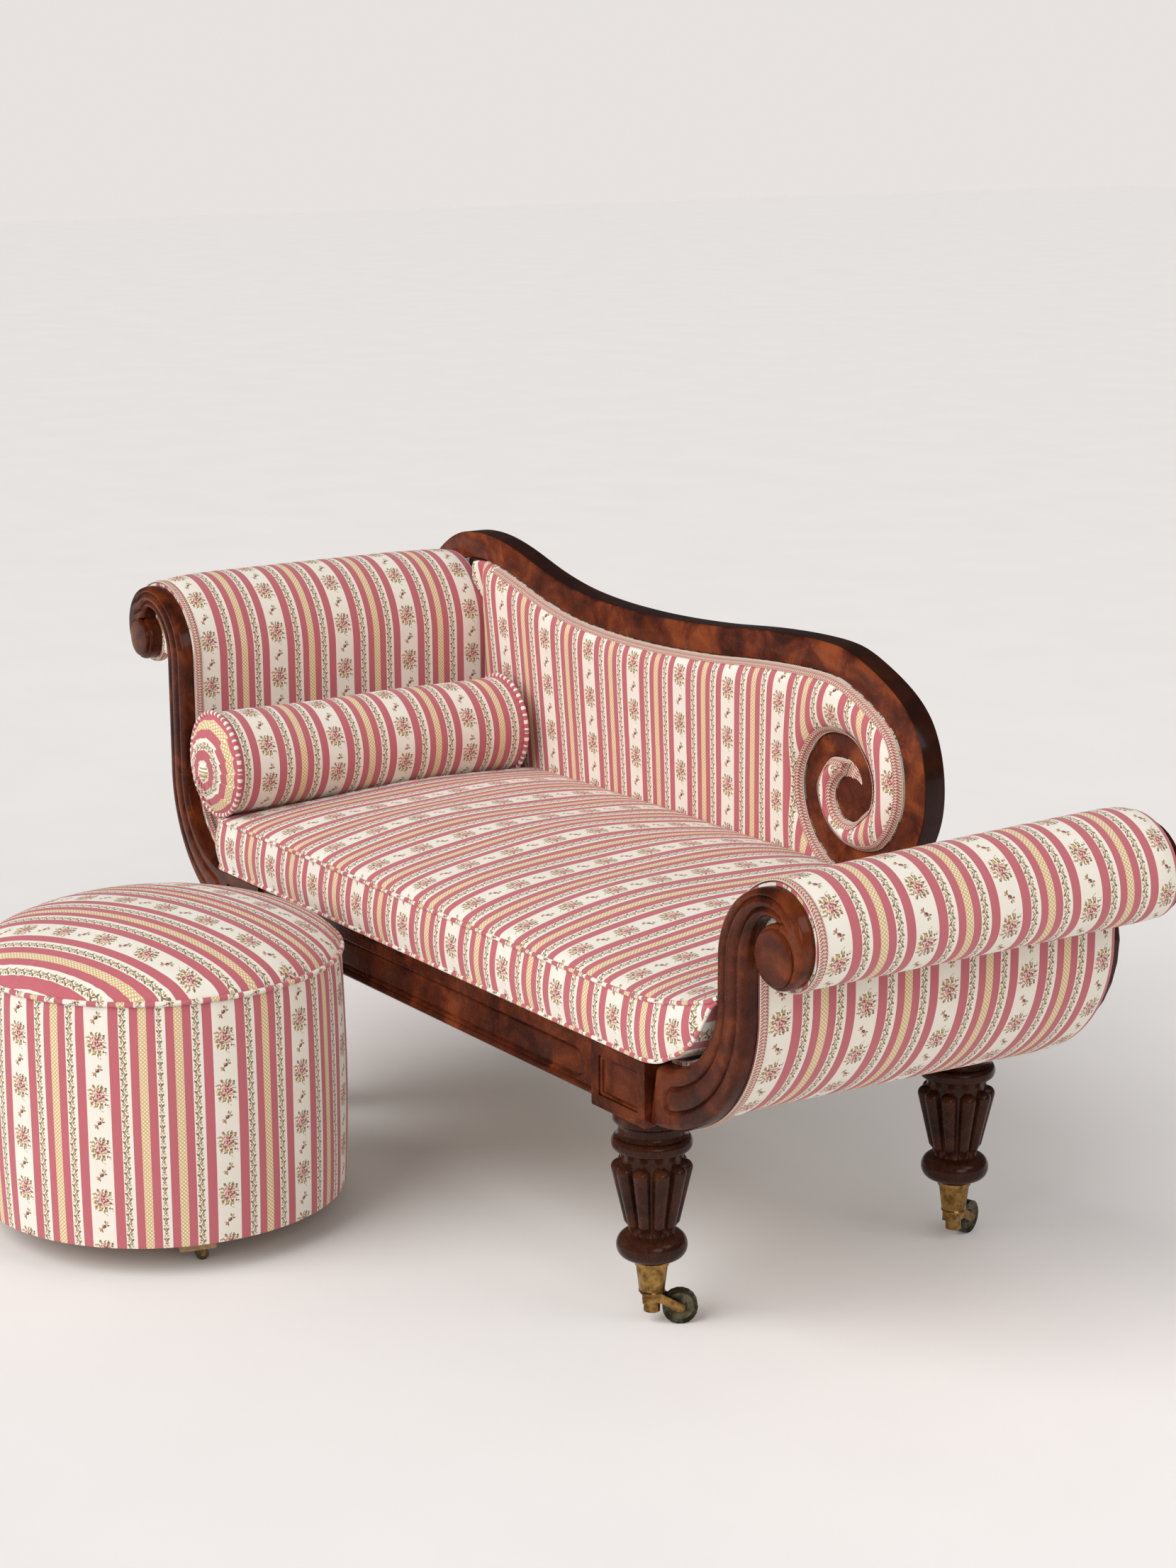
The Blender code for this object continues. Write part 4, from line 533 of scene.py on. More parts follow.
def crowded(count, share):
    """Places from 0 to 1 that crowd towards both ends by a share."""
    places = np.linspace(0.0, 1.0, count)
    return (1 - share) * places + share * (0.5 - 0.5 * np.cos(math.pi * places))


def unit(vectors):
    return vectors / np.maximum(np.linalg.norm(vectors, axis=-1, keepdims=True), 1e-9)


def ribbon(line, across, out, width, height):
    """A crowned strip along a line. across and out are directions at each of its points."""
    share = np.linspace(-1.0, 1.0, 7)
    rise = height * (1 - share ** 4)
    place = (line[:, None, :] + across[:, None, :] * (share * width / 2)[None, :, None]
             + out[:, None, :] * rise[None, :, None])
    return place, joined(share[None, :] * width / 2, runs_of(line)[:, None])


def tube(line, radius, sides=8, closed=False, lengthwise=False):
    """A round tube along a line. With lengthwise, the cloth's stripes cross it."""
    if closed:
        line = np.vstack((line, line[:1]))
        ahead = np.roll(line[:-1], -1, axis=0) - np.roll(line[:-1], 1, axis=0)
        ahead = unit(np.vstack((ahead, ahead[:1])))
    else:
        ahead = unit(np.gradient(line, axis=0))
    up = np.array((0.0, 0.0, 1.0) if abs(ahead[:, 2]).max() < 0.95 else (0.0, 1.0, 0.0))
    side = unit(np.cross(ahead, up))
    up = np.cross(side, ahead)
    turn = np.linspace(0.0, math.tau, sides + 1)
    place = (line[:, None, :] + radius * (np.cos(turn)[None, :, None] * side[:, None, :]
                                         + np.sin(turn)[None, :, None] * up[:, None, :]))
    place[:, -1] = place[:, 0]
    if closed:
        place[-1] = place[0]
    length, girth = runs_of(line)[:, None], (turn * radius)[None, :]
    return place, joined(length, girth) if lengthwise else joined(girth, length)


def arc(centre, radius, start, end, count, height=None):
    """Points on a circle, or on an ellipse of another height, between two angles in degrees."""
    angle = np.radians(np.linspace(start, end, count))
    return np.column_stack((
        centre[0] + radius * np.cos(angle), centre[1] + (height or radius) * np.sin(angle)))


def to_world(end, points):
    """Mirrors what belongs to the head end."""
    points = np.array(points, float)
    if end == "head":
        points[..., 0] = -LEG_X - points[..., 0]
    return points


# Ends

def sweep_from(radius, offset):
    """Where an inner sweep starts, at the butt on the corner block."""
    return max(-90.0, math.degrees(math.asin(offset / radius)) - 90)


def foot_angle(e, reach):
    """Where the outer sweep starts, at the butt on the corner block."""
    return math.degrees(math.asin((BUTT - e.outer[0]) / reach)) - 90


def turn_centre(e):
    """The centre of the roll's turn, between its hook and its eye."""
    return e.hook[0] + HOOK_R - TURN_R, e.hook[1]


def pad_profile(e, swell, sink):
    """The stuffing's outline from the seat side over the roll and down the outside."""
    crown_pad = PAD_LEAST + (e.pad_crown - PAD_LEAST) * swell
    radius = e.inner - PAD_LEAST
    outside = e.pad_side * swell
    outer = e.reach + outside
    return np.vstack((
        arc(e.sweep, radius, sweep_from(radius, BUTT - e.sweep[0]), 0, 24),
        arc(e.crown, CROWN_R + PAD_LEAST, 180, e.hook_from, 30, CROWN_R + crown_pad),
        arc(e.hook, HOOK_R + crown_pad, e.hook_from, 0, 30)[1:],
        arc(turn_centre(e), TURN_R + crown_pad, 0, e.eye_from, 22, TURN_R + PAD_LEAST)[1:],
        arc(e.eye, e.eye_r + PAD_LEAST, e.eye_from, -150, 16)[1:],
        [(e.side + outside, e.eye[1] - e.eye_r * 0.6)],
        arc(e.outer, outer, 0, foot_angle(e, outer), 24, e.reach - PAD_SINK * sink)))


def softened(values, at):
    """A smooth curve through the shares of a padding."""
    fine = np.linspace(0.0, 1.0, 401)
    raw = np.interp(fine, PAD_PLACES, values)
    kernel = np.hanning(41)
    smooth = np.convolve(np.pad(raw, 20, mode="edge"), kernel / kernel.sum(), mode="valid")
    edge = np.clip(np.minimum(fine, 1 - fine) / 0.05, 0.0, 1.0)
    return np.interp(at, fine, smooth * edge + raw * (1 - edge))


def close_ends(mesh):
    """Fills a padding's two flat ends, with the stripes upright on them."""
    work = bmesh.new()
    work.from_mesh(mesh)
    layer = work.loops.layers.uv["cloth"]
    rims = [edge for edge in work.edges if edge.is_boundary]
    for face in bmesh.ops.holes_fill(work, edges=rims, sides=0)["faces"]:
        for loop in face.loops:
            loop[layer].uv = (loop.vert.co.x, loop.vert.co.z)
    bmesh.ops.recalc_face_normals(work, faces=work.faces)
    work.to_mesh(mesh)
    work.free()
    mesh.shade_smooth()
    mesh.set_sharp_from_angle(angle=math.radians(50))


def end_pads():
    """The stuffed ends with their rolls, and the braid and the cord along their front edges."""
    shares = crowded(46, 0.6)
    sinks = softened(PAD_SINKS, shares)
    count = 240
    for end, e in ENDS.items():
        front, back = MEMBER_BACK + CLEAR, e.back - CLEAR
        along = resample(pad_profile(e, 0.8, 0.5), count)[1]
        place, uv = [], []
        for share, swell, sink in zip(shares, softened(e.swell, shares), sinks):
            y = front + (back - front) * share
            line = to_world(end, resample(pad_profile(e, swell, sink), count)[0])
            place.append(joined(line[:, 0], y, line[:, 1]))
            uv.append(joined((y + PAD_CLOTH) * e.stretch, along))
        place = np.array(place)
        strip = np.stack((place[:, -1], place[:, 0]), axis=1)
        mesh = grids(f"{end}_pad", [(place, uv), (strip, strip[..., :2])])
        close_ends(mesh)
        pad = show(f"{end}_pad", mesh, FABRIC, replaces=(f"{end}_padding",))
        # the braid covers the tacked edge next to the wood, with a thin cord against it
        line = resample(pad_profile(e, 0.12, 0.1), 300)[0]
        line = to_world(end, line[: int(len(line) * 0.97)])
        path = joined(line[:, 0], MEMBER_BACK + 0.0012 + GIMP / 2, line[:, 1])
        across = np.tile((0.0, 1.0, 0.0), (len(path), 1))
        out = unit(np.cross(unit(np.gradient(path, axis=0)), across))
        if out[0] @ np.array((-1.0 if end == "foot" else 1.0, 0.0, 1.0)) < 0:
            out = -out
        trim(f"{end}_gimp", ribbon(path + out * 0.0004, across, out, GIMP, 0.0022), BRAID)
        edge = joined(path[:, 0], MEMBER_BACK + 0.0010, path[:, 2])
        trim(f"{end}_cord", tube(edge + out * 0.0008, CORD_R), CORD)


# Scroll members at the front

def scroll_lines(end):
    """The seat-side and outer edges of a member as two lines with matching points."""
    e = ENDS[end]
    tip_angle = 75 if end == "foot" else 112
    tip = arc(e.eye, e.eye_r, tip_angle, tip_angle, 1)[0]
    inner = [arc(e.sweep, e.inner, sweep_from(e.inner, BUTT - e.sweep[0]), 0, 90)]
    outer = [arc(e.outer, e.reach, foot_angle(e, e.reach), 0, 90)]
    inner.append(np.linspace(inner[0][-1], (STEM, e.crown[1]), 12)[1:])
    outer.append(np.linspace(outer[0][-1], (e.side, e.crown[1]), 12)[1:])
    over = np.vstack((arc(e.crown, CROWN_R, 180, e.hook_from, 60),
                      arc(e.hook, HOOK_R, e.hook_from, 60, 30)[1:]))
    under = arc((e.side + e.gap, e.crown[1]), e.gap, 180, 90, 60, CROWN_R - 0.037)
    top, share = under[-1], np.linspace(0.0, 1.0, 12)[1:, None]
    bend = np.array(((top[0] + tip[0]) / 2 + 0.004, top[1]))
    under = np.vstack((
        under, top * (1 - share) ** 2 + 2 * share * (1 - share) * bend + tip * share ** 2))
    inner.append(resample(over, 50)[0][1:])
    outer.append(resample(under, 50)[0][1:])
    round_eye = np.vstack((
        arc(e.hook, HOOK_R, 60, 0, 30), arc(turn_centre(e), TURN_R, 0, e.eye_from, 30)[1:],
        arc(e.eye, e.eye_r, e.eye_from, tip_angle - 360, 60)[1:]))
    angles = np.unwrap(np.arctan2(round_eye[:, 1] - e.eye[1], round_eye[:, 0] - e.eye[0]))
    boss = e.eye_r - EYE_RIM
    rim = np.column_stack((e.eye[0] + boss * np.cos(angles), e.eye[1] + boss * np.sin(angles)))
    keep = len(np.vstack(inner))
    inner.append(resample(round_eye, 110)[0][1:])
    outer.append(resample(round_eye, 110, rim)[0][1:])
    return np.vstack(inner), np.vstack(outer), keep


def front_scrolls():
    """The carved members: soft edges, a tongue-shaped groove and a disc on the eye."""
    soft = 0.009
    groove, groove_width, tongue, tongue_start = 0.0042, 0.0024, 0.19, 0.024
    turn = np.linspace(0.0, math.tau, 49)
    shares = np.concatenate([np.linspace(*run) for run in (
        (0.0, 0.20, 9), (0.24, 0.38, 9), (0.42, 0.58, 5), (0.62, 0.76, 9), (0.80, 1.0, 9))])
    for end, e in ENDS.items():
        inner, outer, keep = scroll_lines(end)
        widths = np.linalg.norm(outer - inner, axis=1)
        steps = runs_of((inner + outer) / 2)
        place = np.empty((len(inner), len(shares) + 2, 3))
        for i, width in enumerate(widths):
            at = inner[i] + (outer[i] - inner[i]) * shares[:, None]
            from_inner, from_outer = shares * width, (1 - shares) * width
            in_eye = i >= keep
            depth = np.zeros(len(shares))
            for reach in (from_inner,) if in_eye else (from_inner, from_outer):
                dip = np.clip(1 - reach / soft, 0.0, 1.0)
                depth += soft * (1 - np.sqrt(np.maximum(0.0, 1 - dip ** 2)))
            fade = clamp((keep + 12 - i) / 14)
            half = tongue * width
            away = half - np.hypot(min(0.0, steps[i] - tongue_start - half), (shares - 0.5) * width)
            depth += groove * fade * np.exp(-(away / groove_width) ** 2)
            depth -= fade * 0.0016 * np.clip(away / half, 0.0, 1.0) ** 0.5
            if in_eye:
                depth += 0.0016 * np.exp(-(from_outer / 0.0022) ** 2) * min(1.0, (i - keep) / 10)
            y = MEMBER_FRONT + depth
            y[0] = max(y[0], MEMBER_FRONT + soft)
            place[i, 1:-1] = joined(at[:, 0], y, at[:, 1])
            place[i, 0] = (inner[i][0], MEMBER_BACK, inner[i][1])
            place[i, -1] = (outer[i][0], MEMBER_BACK, outer[i][1])
        place = to_world(end, place)
        back = np.stack((place[:, 0], place[:, -1]), axis=1)
        start = np.stack((place[0], joined(place[0, :, 0], MEMBER_BACK, place[0, :, 2])))
        eye_x = to_world(end, [e.eye])[0, 0]
        boss = e.eye_r - EYE_RIM
        disc = [joined(eye_x + r * np.cos(turn), MEMBER_FRONT + d, e.eye[1] + r * np.sin(turn))
                for r, d in ((boss + 0.0002, 0.004), (boss, -0.0012), (boss - 0.0010, -0.0026),
                             (boss - 0.003, -0.0032), (boss * 0.5, -0.0040), (0.0001, -0.0042))]
        mesh = grids(f"scroll_{end}", [(patch, None) for patch in (place, back, start, disc)], 48)
        show(f"scroll_{end}_carved", mesh, CARVED,
             replaces=(f"scroll_{end}_front",))


# Padded back

def outline_of(node):
    """The corner points of a CAD node's rear face in order, in X and Z from the leg."""
    work = bmesh.new()
    work.from_mesh(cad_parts[node].data)
    bmesh.ops.remove_doubles(work, verts=work.verts, dist=WELD)
    rear = max(v.co.y for v in work.verts)
    flat = [f for f in work.faces if all(abs(v.co.y - rear) < 0.0002 for v in f.verts)]
    links = {}
    for face in flat:
        for edge in face.edges:
            if sum(f in flat for f in edge.link_faces) == 1:
                a, b = edge.verts
                links.setdefault(a.index, []).append(b.index)
                links.setdefault(b.index, []).append(a.index)
    order = [min(links)]
    order.append(links[order[0]][0])
    while len(order) < len(links):
        order += [k for k in links[order[-1]] if k != order[-2]]
    work.verts.ensure_lookup_table()
    points = np.array([(work.verts[k].co.x - ORIGIN.x, work.verts[k].co.z) for k in order])
    work.free()
    return points


def spline(points, step, corner=35.0):
    """A closed curve through the points, with its sharp corners kept."""
    runs = np.roll(points, -1, axis=0) - points
    lengths = np.linalg.norm(runs, axis=1)[:, None]
    ahead = runs / lengths
    behind, before = np.roll(ahead, 1, axis=0), np.roll(lengths, 1, axis=0)
    smooth = unit(behind * lengths + ahead * before)
    sharp = np.sum(ahead * behind, axis=1) < math.cos(math.radians(corner))
    leave = np.where(sharp[:, None], ahead, smooth)
    arrive = np.roll(np.where(sharp[:, None], behind, smooth), -1, axis=0)
    line = []
    for a, b, length, out, into in zip(points, np.roll(points, -1, axis=0), lengths, leave, arrive):
        t = np.linspace(0.0, 1.0, max(2, int(round(length[0] / step)) + 1))[:-1, None]
        line.append((2 * t ** 3 - 3 * t ** 2 + 1) * a + (t ** 3 - 2 * t ** 2 + t) * length * out
                    + (3 * t ** 2 - 2 * t ** 3) * b + (t ** 3 - t ** 2) * length * into)
    return np.vstack(line)


def calmed(line, step, width=0.020, limit=0.0032):
    """Irons small waves out of a closed curve. Its corners and tight bends stay."""
    reach = int(3 * width / step)
    kernel = np.exp(-0.5 * (np.arange(-reach, reach + 1) * step / width) ** 2)
    kernel /= kernel.sum()
    flat = np.column_stack([
        np.convolve(np.pad(column, reach, mode="wrap"), kernel, mode="valid") for column in line.T])
    apart = np.linalg.norm(flat - line, axis=1)[:, None]
    return line + (flat - line) * np.exp(-(apart / limit) ** 2)


def inwards(line, ahead, outline, probe):
    """The directions square to a line that point into an outline."""
    normal = np.column_stack((-ahead[:, 1], ahead[:, 0]))
    return normal if inside_of(line + normal * probe, outline).mean() >= 0.5 else -normal


def back_band():
    """The show-wood band with even curves and eased front edges."""
    line = calmed(spline(outline_of("back_frame"), 0.0025), 0.0025)
    ahead = unit(np.roll(line, -1, axis=0) - np.roll(line, 1, axis=0))
    inward = inwards(line, ahead, line, 0.002)
    ease, count = 0.0035, len(line)
    rings = [(line, BAND_BACK)]
    for angle in np.radians((0, 30, 60, 90)):
        rings.append((line + inward * ease * (1 - math.cos(angle)),
                      BAND_FRONT + ease * (1 - math.sin(angle))))
    points = np.vstack([joined(flat[:, 0], y, flat[:, 1]) for flat, y in rings])
    faces = []
    for r in range(0, len(points) - count, count):
        for i in range(count):
            ahead = (i + 1) % count
            faces.append((r + i, r + ahead, r + count + ahead, r + count + i))
    faces += [tuple(range(count)), tuple(range(len(points) - count, len(points)))]
    mesh = build("back_band", points, faces)
    mesh.set_sharp_from_angle(angle=math.radians(40))
    show("back_band", mesh, FIGURED, replaces=("back_frame",))


def distance_to(points, line):
    """Distance from each point to a closed line of segments, in two dimensions."""
    best = np.full(len(points), 9.0)
    for a, b in zip(line, np.roll(line, -1, axis=0)):
        run = b - a
        length = max(run @ run, 1e-12)
        t = np.clip(((points - a) @ run) / length, 0.0, 1.0)
        gap = points - (a + t[:, None] * run)
        best = np.minimum(best, np.hypot(gap[:, 0], gap[:, 1]))
    return best


def back_panel():
    """The padded panel, whose face falls back along the wood."""
    outline = outline_of("back_padding")
    low = outline[:, 1].min()
    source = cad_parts["back_padding"]
    copy = source.copy()
    copy.data = source.data.copy()
    copy.hide_render = copy.hide_viewport = False
    copy.name = "back_pad_source"
    bpy.context.scene.collection.objects.link(copy)
    fine = copy.modifiers.new("even mesh", "REMESH")
    fine.mode = "VOXEL"
    fine.voxel_size = 0.0045
    bpy.context.view_layer.update()
    mesh = bpy.data.meshes.new_from_object(copy.evaluated_get(bpy.context.evaluated_depsgraph_get()))
    bpy.data.objects.remove(copy)
    co = np.empty(len(mesh.vertices) * 3)
    mesh.vertices.foreach_get("co", co)
    co = co.reshape(-1, 3) - np.array(ORIGIN)
    flat = co[:, [0, 2]]
    edge = distance_to(flat, outline)
    # the lower edge lies behind the cushion, so the padding stays full down to it
    edge = np.where(flat[:, 1] - low < edge + 0.0005, 0.05, edge)
    depth = np.clip((PANEL_REAR - co[:, 1]) / (PANEL_REAR - PANEL_FRONT), 0.0, 1.0)
    co[:, 1] = PANEL_REAR - (PANEL_REAR - panel_face(edge)) * depth
    mesh.vertices.foreach_set("co", co.ravel())
    # the stripes lean towards the head end and bow round the spiral
    lean = np.clip((-0.50 - flat[:, 0]) / 0.75, 0.0, 1.0) * 0.17
    from_eye = np.hypot(flat[:, 0] - SPIRAL_EYE[0], flat[:, 1] - SPIRAL_EYE[1])
    bow = 0.010 * np.exp(-((from_eye - 0.13) / 0.04) ** 2)
    u = flat[:, 0] - lean * (0.80 - flat[:, 1]) + bow + BACK_CLOTH
    lay_cloth(mesh, np.column_stack((u, flat[:, 1])))
    mesh.materials.clear()
    mesh.shade_smooth()
    mesh.name = "back_pad"
    panel = show("back_pad", mesh, FABRIC, replaces=("back_padding",))
    smooth = panel.modifiers.new("soft", "SMOOTH")
    smooth.iterations = 4
    smooth.factor = 0.5
    trim_panel(outline, low)


def trim_panel(outline, low):
    """The braid and the cord along the band's edge and round the spiral's channel."""
    step = 0.003
    wood = [p[1] > low + 0.004 and p[0] >= POST_X for p in outline]
    start = next(i for i in range(len(wood)) if wood[i] and not wood[i - 1])
    run = list(itertools.takewhile(
        lambda k: wood[k], [(start + i) % len(wood) for i in range(len(wood))]))
    curve = calmed(spline(outline, step), step)
    first, last = (np.argmin(np.linalg.norm(curve - outline[k], axis=1)) for k in (run[0], run[-1]))
    curve = np.roll(curve, -first, axis=0)
    smooth = even(curve[:(last - first) % len(curve) + 1], step)
    kernel = np.ones(3) / 3
    smooth[1:-1] = np.column_stack([np.convolve(k, kernel, mode="valid") for k in smooth.T])
    normal = inwards(smooth, unit(np.gradient(smooth, axis=0)), outline, 0.004)
    across = joined(normal[:, 0], 0.0, normal[:, 1])
    flat = joined(smooth[:, 0], 0.0, smooth[:, 1])
    share = np.linspace(-1.0, 1.0, 9)
    reach = 0.0050 + share * 0.0042
    place = flat[:, None, :] + across[:, None, :] * reach[None, :, None]
    place[..., 1] = panel_face(reach) - 0.0010 - 0.0016 * (1 - share ** 4)
    trim("back_gimp", (place, joined(share[None, :] * GIMP / 2, runs_of(smooth)[:, None])), BRAID)
    edge = flat + across * 0.0006
    edge[:, 1] = BAND_FRONT - 0.0016
    trim("back_cord", tube(edge, CORD_R), CORD)
    # the stuffing runs on behind the wood into the channel's narrow end
    turn = np.linspace(0.0, math.tau, 25)
    radii = (0.024, 0.018, 0.012, 0.006, 0.0001)
    rings = [joined(CHANNEL_END[0] + r * np.cos(turn), BAND_FRONT + 0.0010 - 4 * (radii[0] - r) ** 2,
                    CHANNEL_END[1] + r * np.sin(turn)) for r in radii]
    uv = [joined(r * np.cos(turn + 0.7) * 0.5, r * np.sin(turn + 0.7)) for r in radii]
    trim("channel_end", (rings, uv), BRAID)


def panel_face(reach):
    """Depth of the padded panel's face at a distance from its edge."""
    return BAND_FRONT - 0.0010 - 0.0215 * (1 - np.exp(-np.maximum(reach, 0.0) / 0.0125))


def inside_of(points, outline):
    """Whether each point lies inside a closed outline."""
    inside = np.zeros(len(points), bool)
    for (x0, z0), (x1, z1) in zip(outline, np.roll(outline, -1, axis=0)):
        crosses = (z0 > points[:, 1]) != (z1 > points[:, 1])
        at = x0 + (points[:, 1] - z0) * (x1 - x0) / (z1 - z0 if z1 != z0 else 1e-12)
        inside ^= crosses & (points[:, 0] < at)
    return inside


# Seat cushion

def cushion_front(x):
    """Depth of the cushion's front at a place along it, with its corners rounded."""
    long, deep = (0.045, 0.015) if x > 0 else (0.030, 0.030)
    into = clamp(max(x - CUSHION_FOOT, CUSHION_HEAD - x) / long + 1.0)
    return CUSHION_FRONT + deep * (1.0 - math.sqrt(1.0 - into ** 2))


def cushion_heights(x, y, row):
    """Underside and top of the cushion at a place. row is 0 at the front and 1 at the back."""
    inner = ENDS["head" if x < -LEG_X / 2 else "foot"].inner
    beyond = max(-LEG_X - x, x) - STEM + inner
    low = SEAT_FLOOR
    if beyond > 0:
        low = RAIL_TOP + inner - math.sqrt(max((inner - PAD_GAP) ** 2 - beyond ** 2, 0.0))
    # the front corner at the foot end lifts off the padding
    low += 0.011 * clamp((x - 0.055) / 0.075) ** 1.5 * max(0.0, 1 - row * 2)
    share = clamp((x - CUSHION_HEAD) / (CUSHION_FOOT - CUSHION_HEAD))
    seam = SEAT_FLOOR + CUSHION_WALL + 0.016 * row + 0.034 * max(0.0, x / CUSHION_FOOT) ** 2
    depth = math.sin(math.pi * clamp(row)) ** 0.5
    high = seam + CUSHION_CROWN * depth * math.sin(math.pi * share) ** 0.45
    high += 0.0016 * depth * (math.sin(x * 23 + y * 9) + math.sin(x * 11 - y * 17))
    # the bolster presses a trough into it
    reach = ROLL_R + ROLL_GAP
    if abs(x - ROLL_X) < reach:
        high = min(high, ROLL_Z - math.sqrt(reach ** 2 - (x - ROLL_X) ** 2))
    # it ends in a thin edge against the foot end
    into = clamp((x - CUSHION_TAPER) / (CUSHION_FOOT - CUSHION_TAPER))
    low += (high - low) * (1.0 - math.sqrt(1.0 - into ** 2))
    if high - low < CUSHION_EDGE:
        middle = (low + high) / 2
        low, high = middle - CUSHION_EDGE / 2, middle + CUSHION_EDGE / 2
    return low, high


def cushion():
    columns, rows, layers = 190, 60, 13
    end_swell, side_swell, pucker_depth, full = 0.0130, 0.0068, 0.0011, 0.05
    xs = CUSHION_HEAD + (CUSHION_FOOT - CUSHION_HEAD) * crowded(columns, 0.4)
    back_share = crowded(rows, 0.65)
    front = np.array([cushion_front(x) for x in xs])
    gy = front + (CUSHION_BACK - front) * back_share[:, None]
    # the foot end's front corner bulges a little
    gx = xs + 0.0075 * np.exp((xs - xs[-1]) / 0.020) * np.exp((front - gy) / 0.008)
    low, high = np.moveaxis(np.array([
        [cushion_heights(x, y, row) for x, y in zip(xs, line)]
        for row, line in zip(back_share, gy)]), -1, 0)
    turns = np.hypot(np.diff(front), np.diff(high[0]) * 0.6)
    along = np.concatenate(([0.0], np.cumsum(np.hypot(np.diff(xs), turns))))
    us = (along - np.interp(CUSHION_FLORAL, xs, along)) * (REPEAT / CUSHION_REPEAT) + FLORAL_CENTRE
    rises = np.hypot(np.diff(gy, axis=0), np.diff(high, axis=0))
    ups = np.vstack((np.zeros(columns), np.cumsum(rises, axis=0)))
    patches = [(joined(gx, gy, high), joined(us, ups)), (joined(gx, gy, low), joined(us, gy + 0.3))]
    share = np.linspace(0.0, 1.0, layers)[:, None]
    swell = np.sin(math.pi * share)
    ripple = np.sin(xs * 230 + 4 * np.sin(xs * 31)) + 0.7 * np.sin(xs * 390 + 5 * np.sin(xs * 17))
    pucker = ripple * (1.1 * np.exp(-share / 0.16) + 0.5 * np.exp(-(1 - share) / 0.12))
    pucker *= np.minimum(1.0, swell * 3) * pucker_depth
    tall = high - low
    thin = np.clip(tall / full, 0.0, 1.0)
    for row, sign, held in ((0, -1.0, 1.0), (rows - 1, 1.0, 0.1)):
        z = low[row] + tall[row] * share
        y = gy[row] + (sign * side_swell * swell + pucker) * thin[row] * held
        x = gx[row] - end_swell * np.exp(-(xs - xs[0]) / 0.016) * swell * thin[row]
        patches.append((joined(x, y, z), joined(us, ups[row] + sign * (high[row] - z))))
    for column, sign, puff in ((0, 1, end_swell), (columns - 1, -1, 0.0)):
        z = low[:, column] + tall[:, column] * share
        body = swell * thin[:, column]
        inset = gy[:, column] - gy[0, column]
        place = joined(gx[:, column] - puff * body,
                       gy[:, column] - side_swell * body * np.exp(-inset / 0.020), z)
        patches.append((place, joined(us[column] + sign * inset, z - high[0, column])))
    seat = fabric("seat_pad", patches, "cushion", 60, ("seat_cushion",))
    for label, edge, lift in (("upper", high, 0.0), ("lower", low, 0.002)):
        corner = joined(xs[0] - 0.0012, gy[1:11, 0], edge[1:11, 0] + lift)
        line = np.vstack((corner[::-1], joined(gx[0], front - 0.0012, edge[0] + lift)))
        fabric(f"cushion_piping_{label}",
               [tube(even(line, 0.005), THIN_PIPING, 10, lengthwise=True)], "cushion")


# Bolster

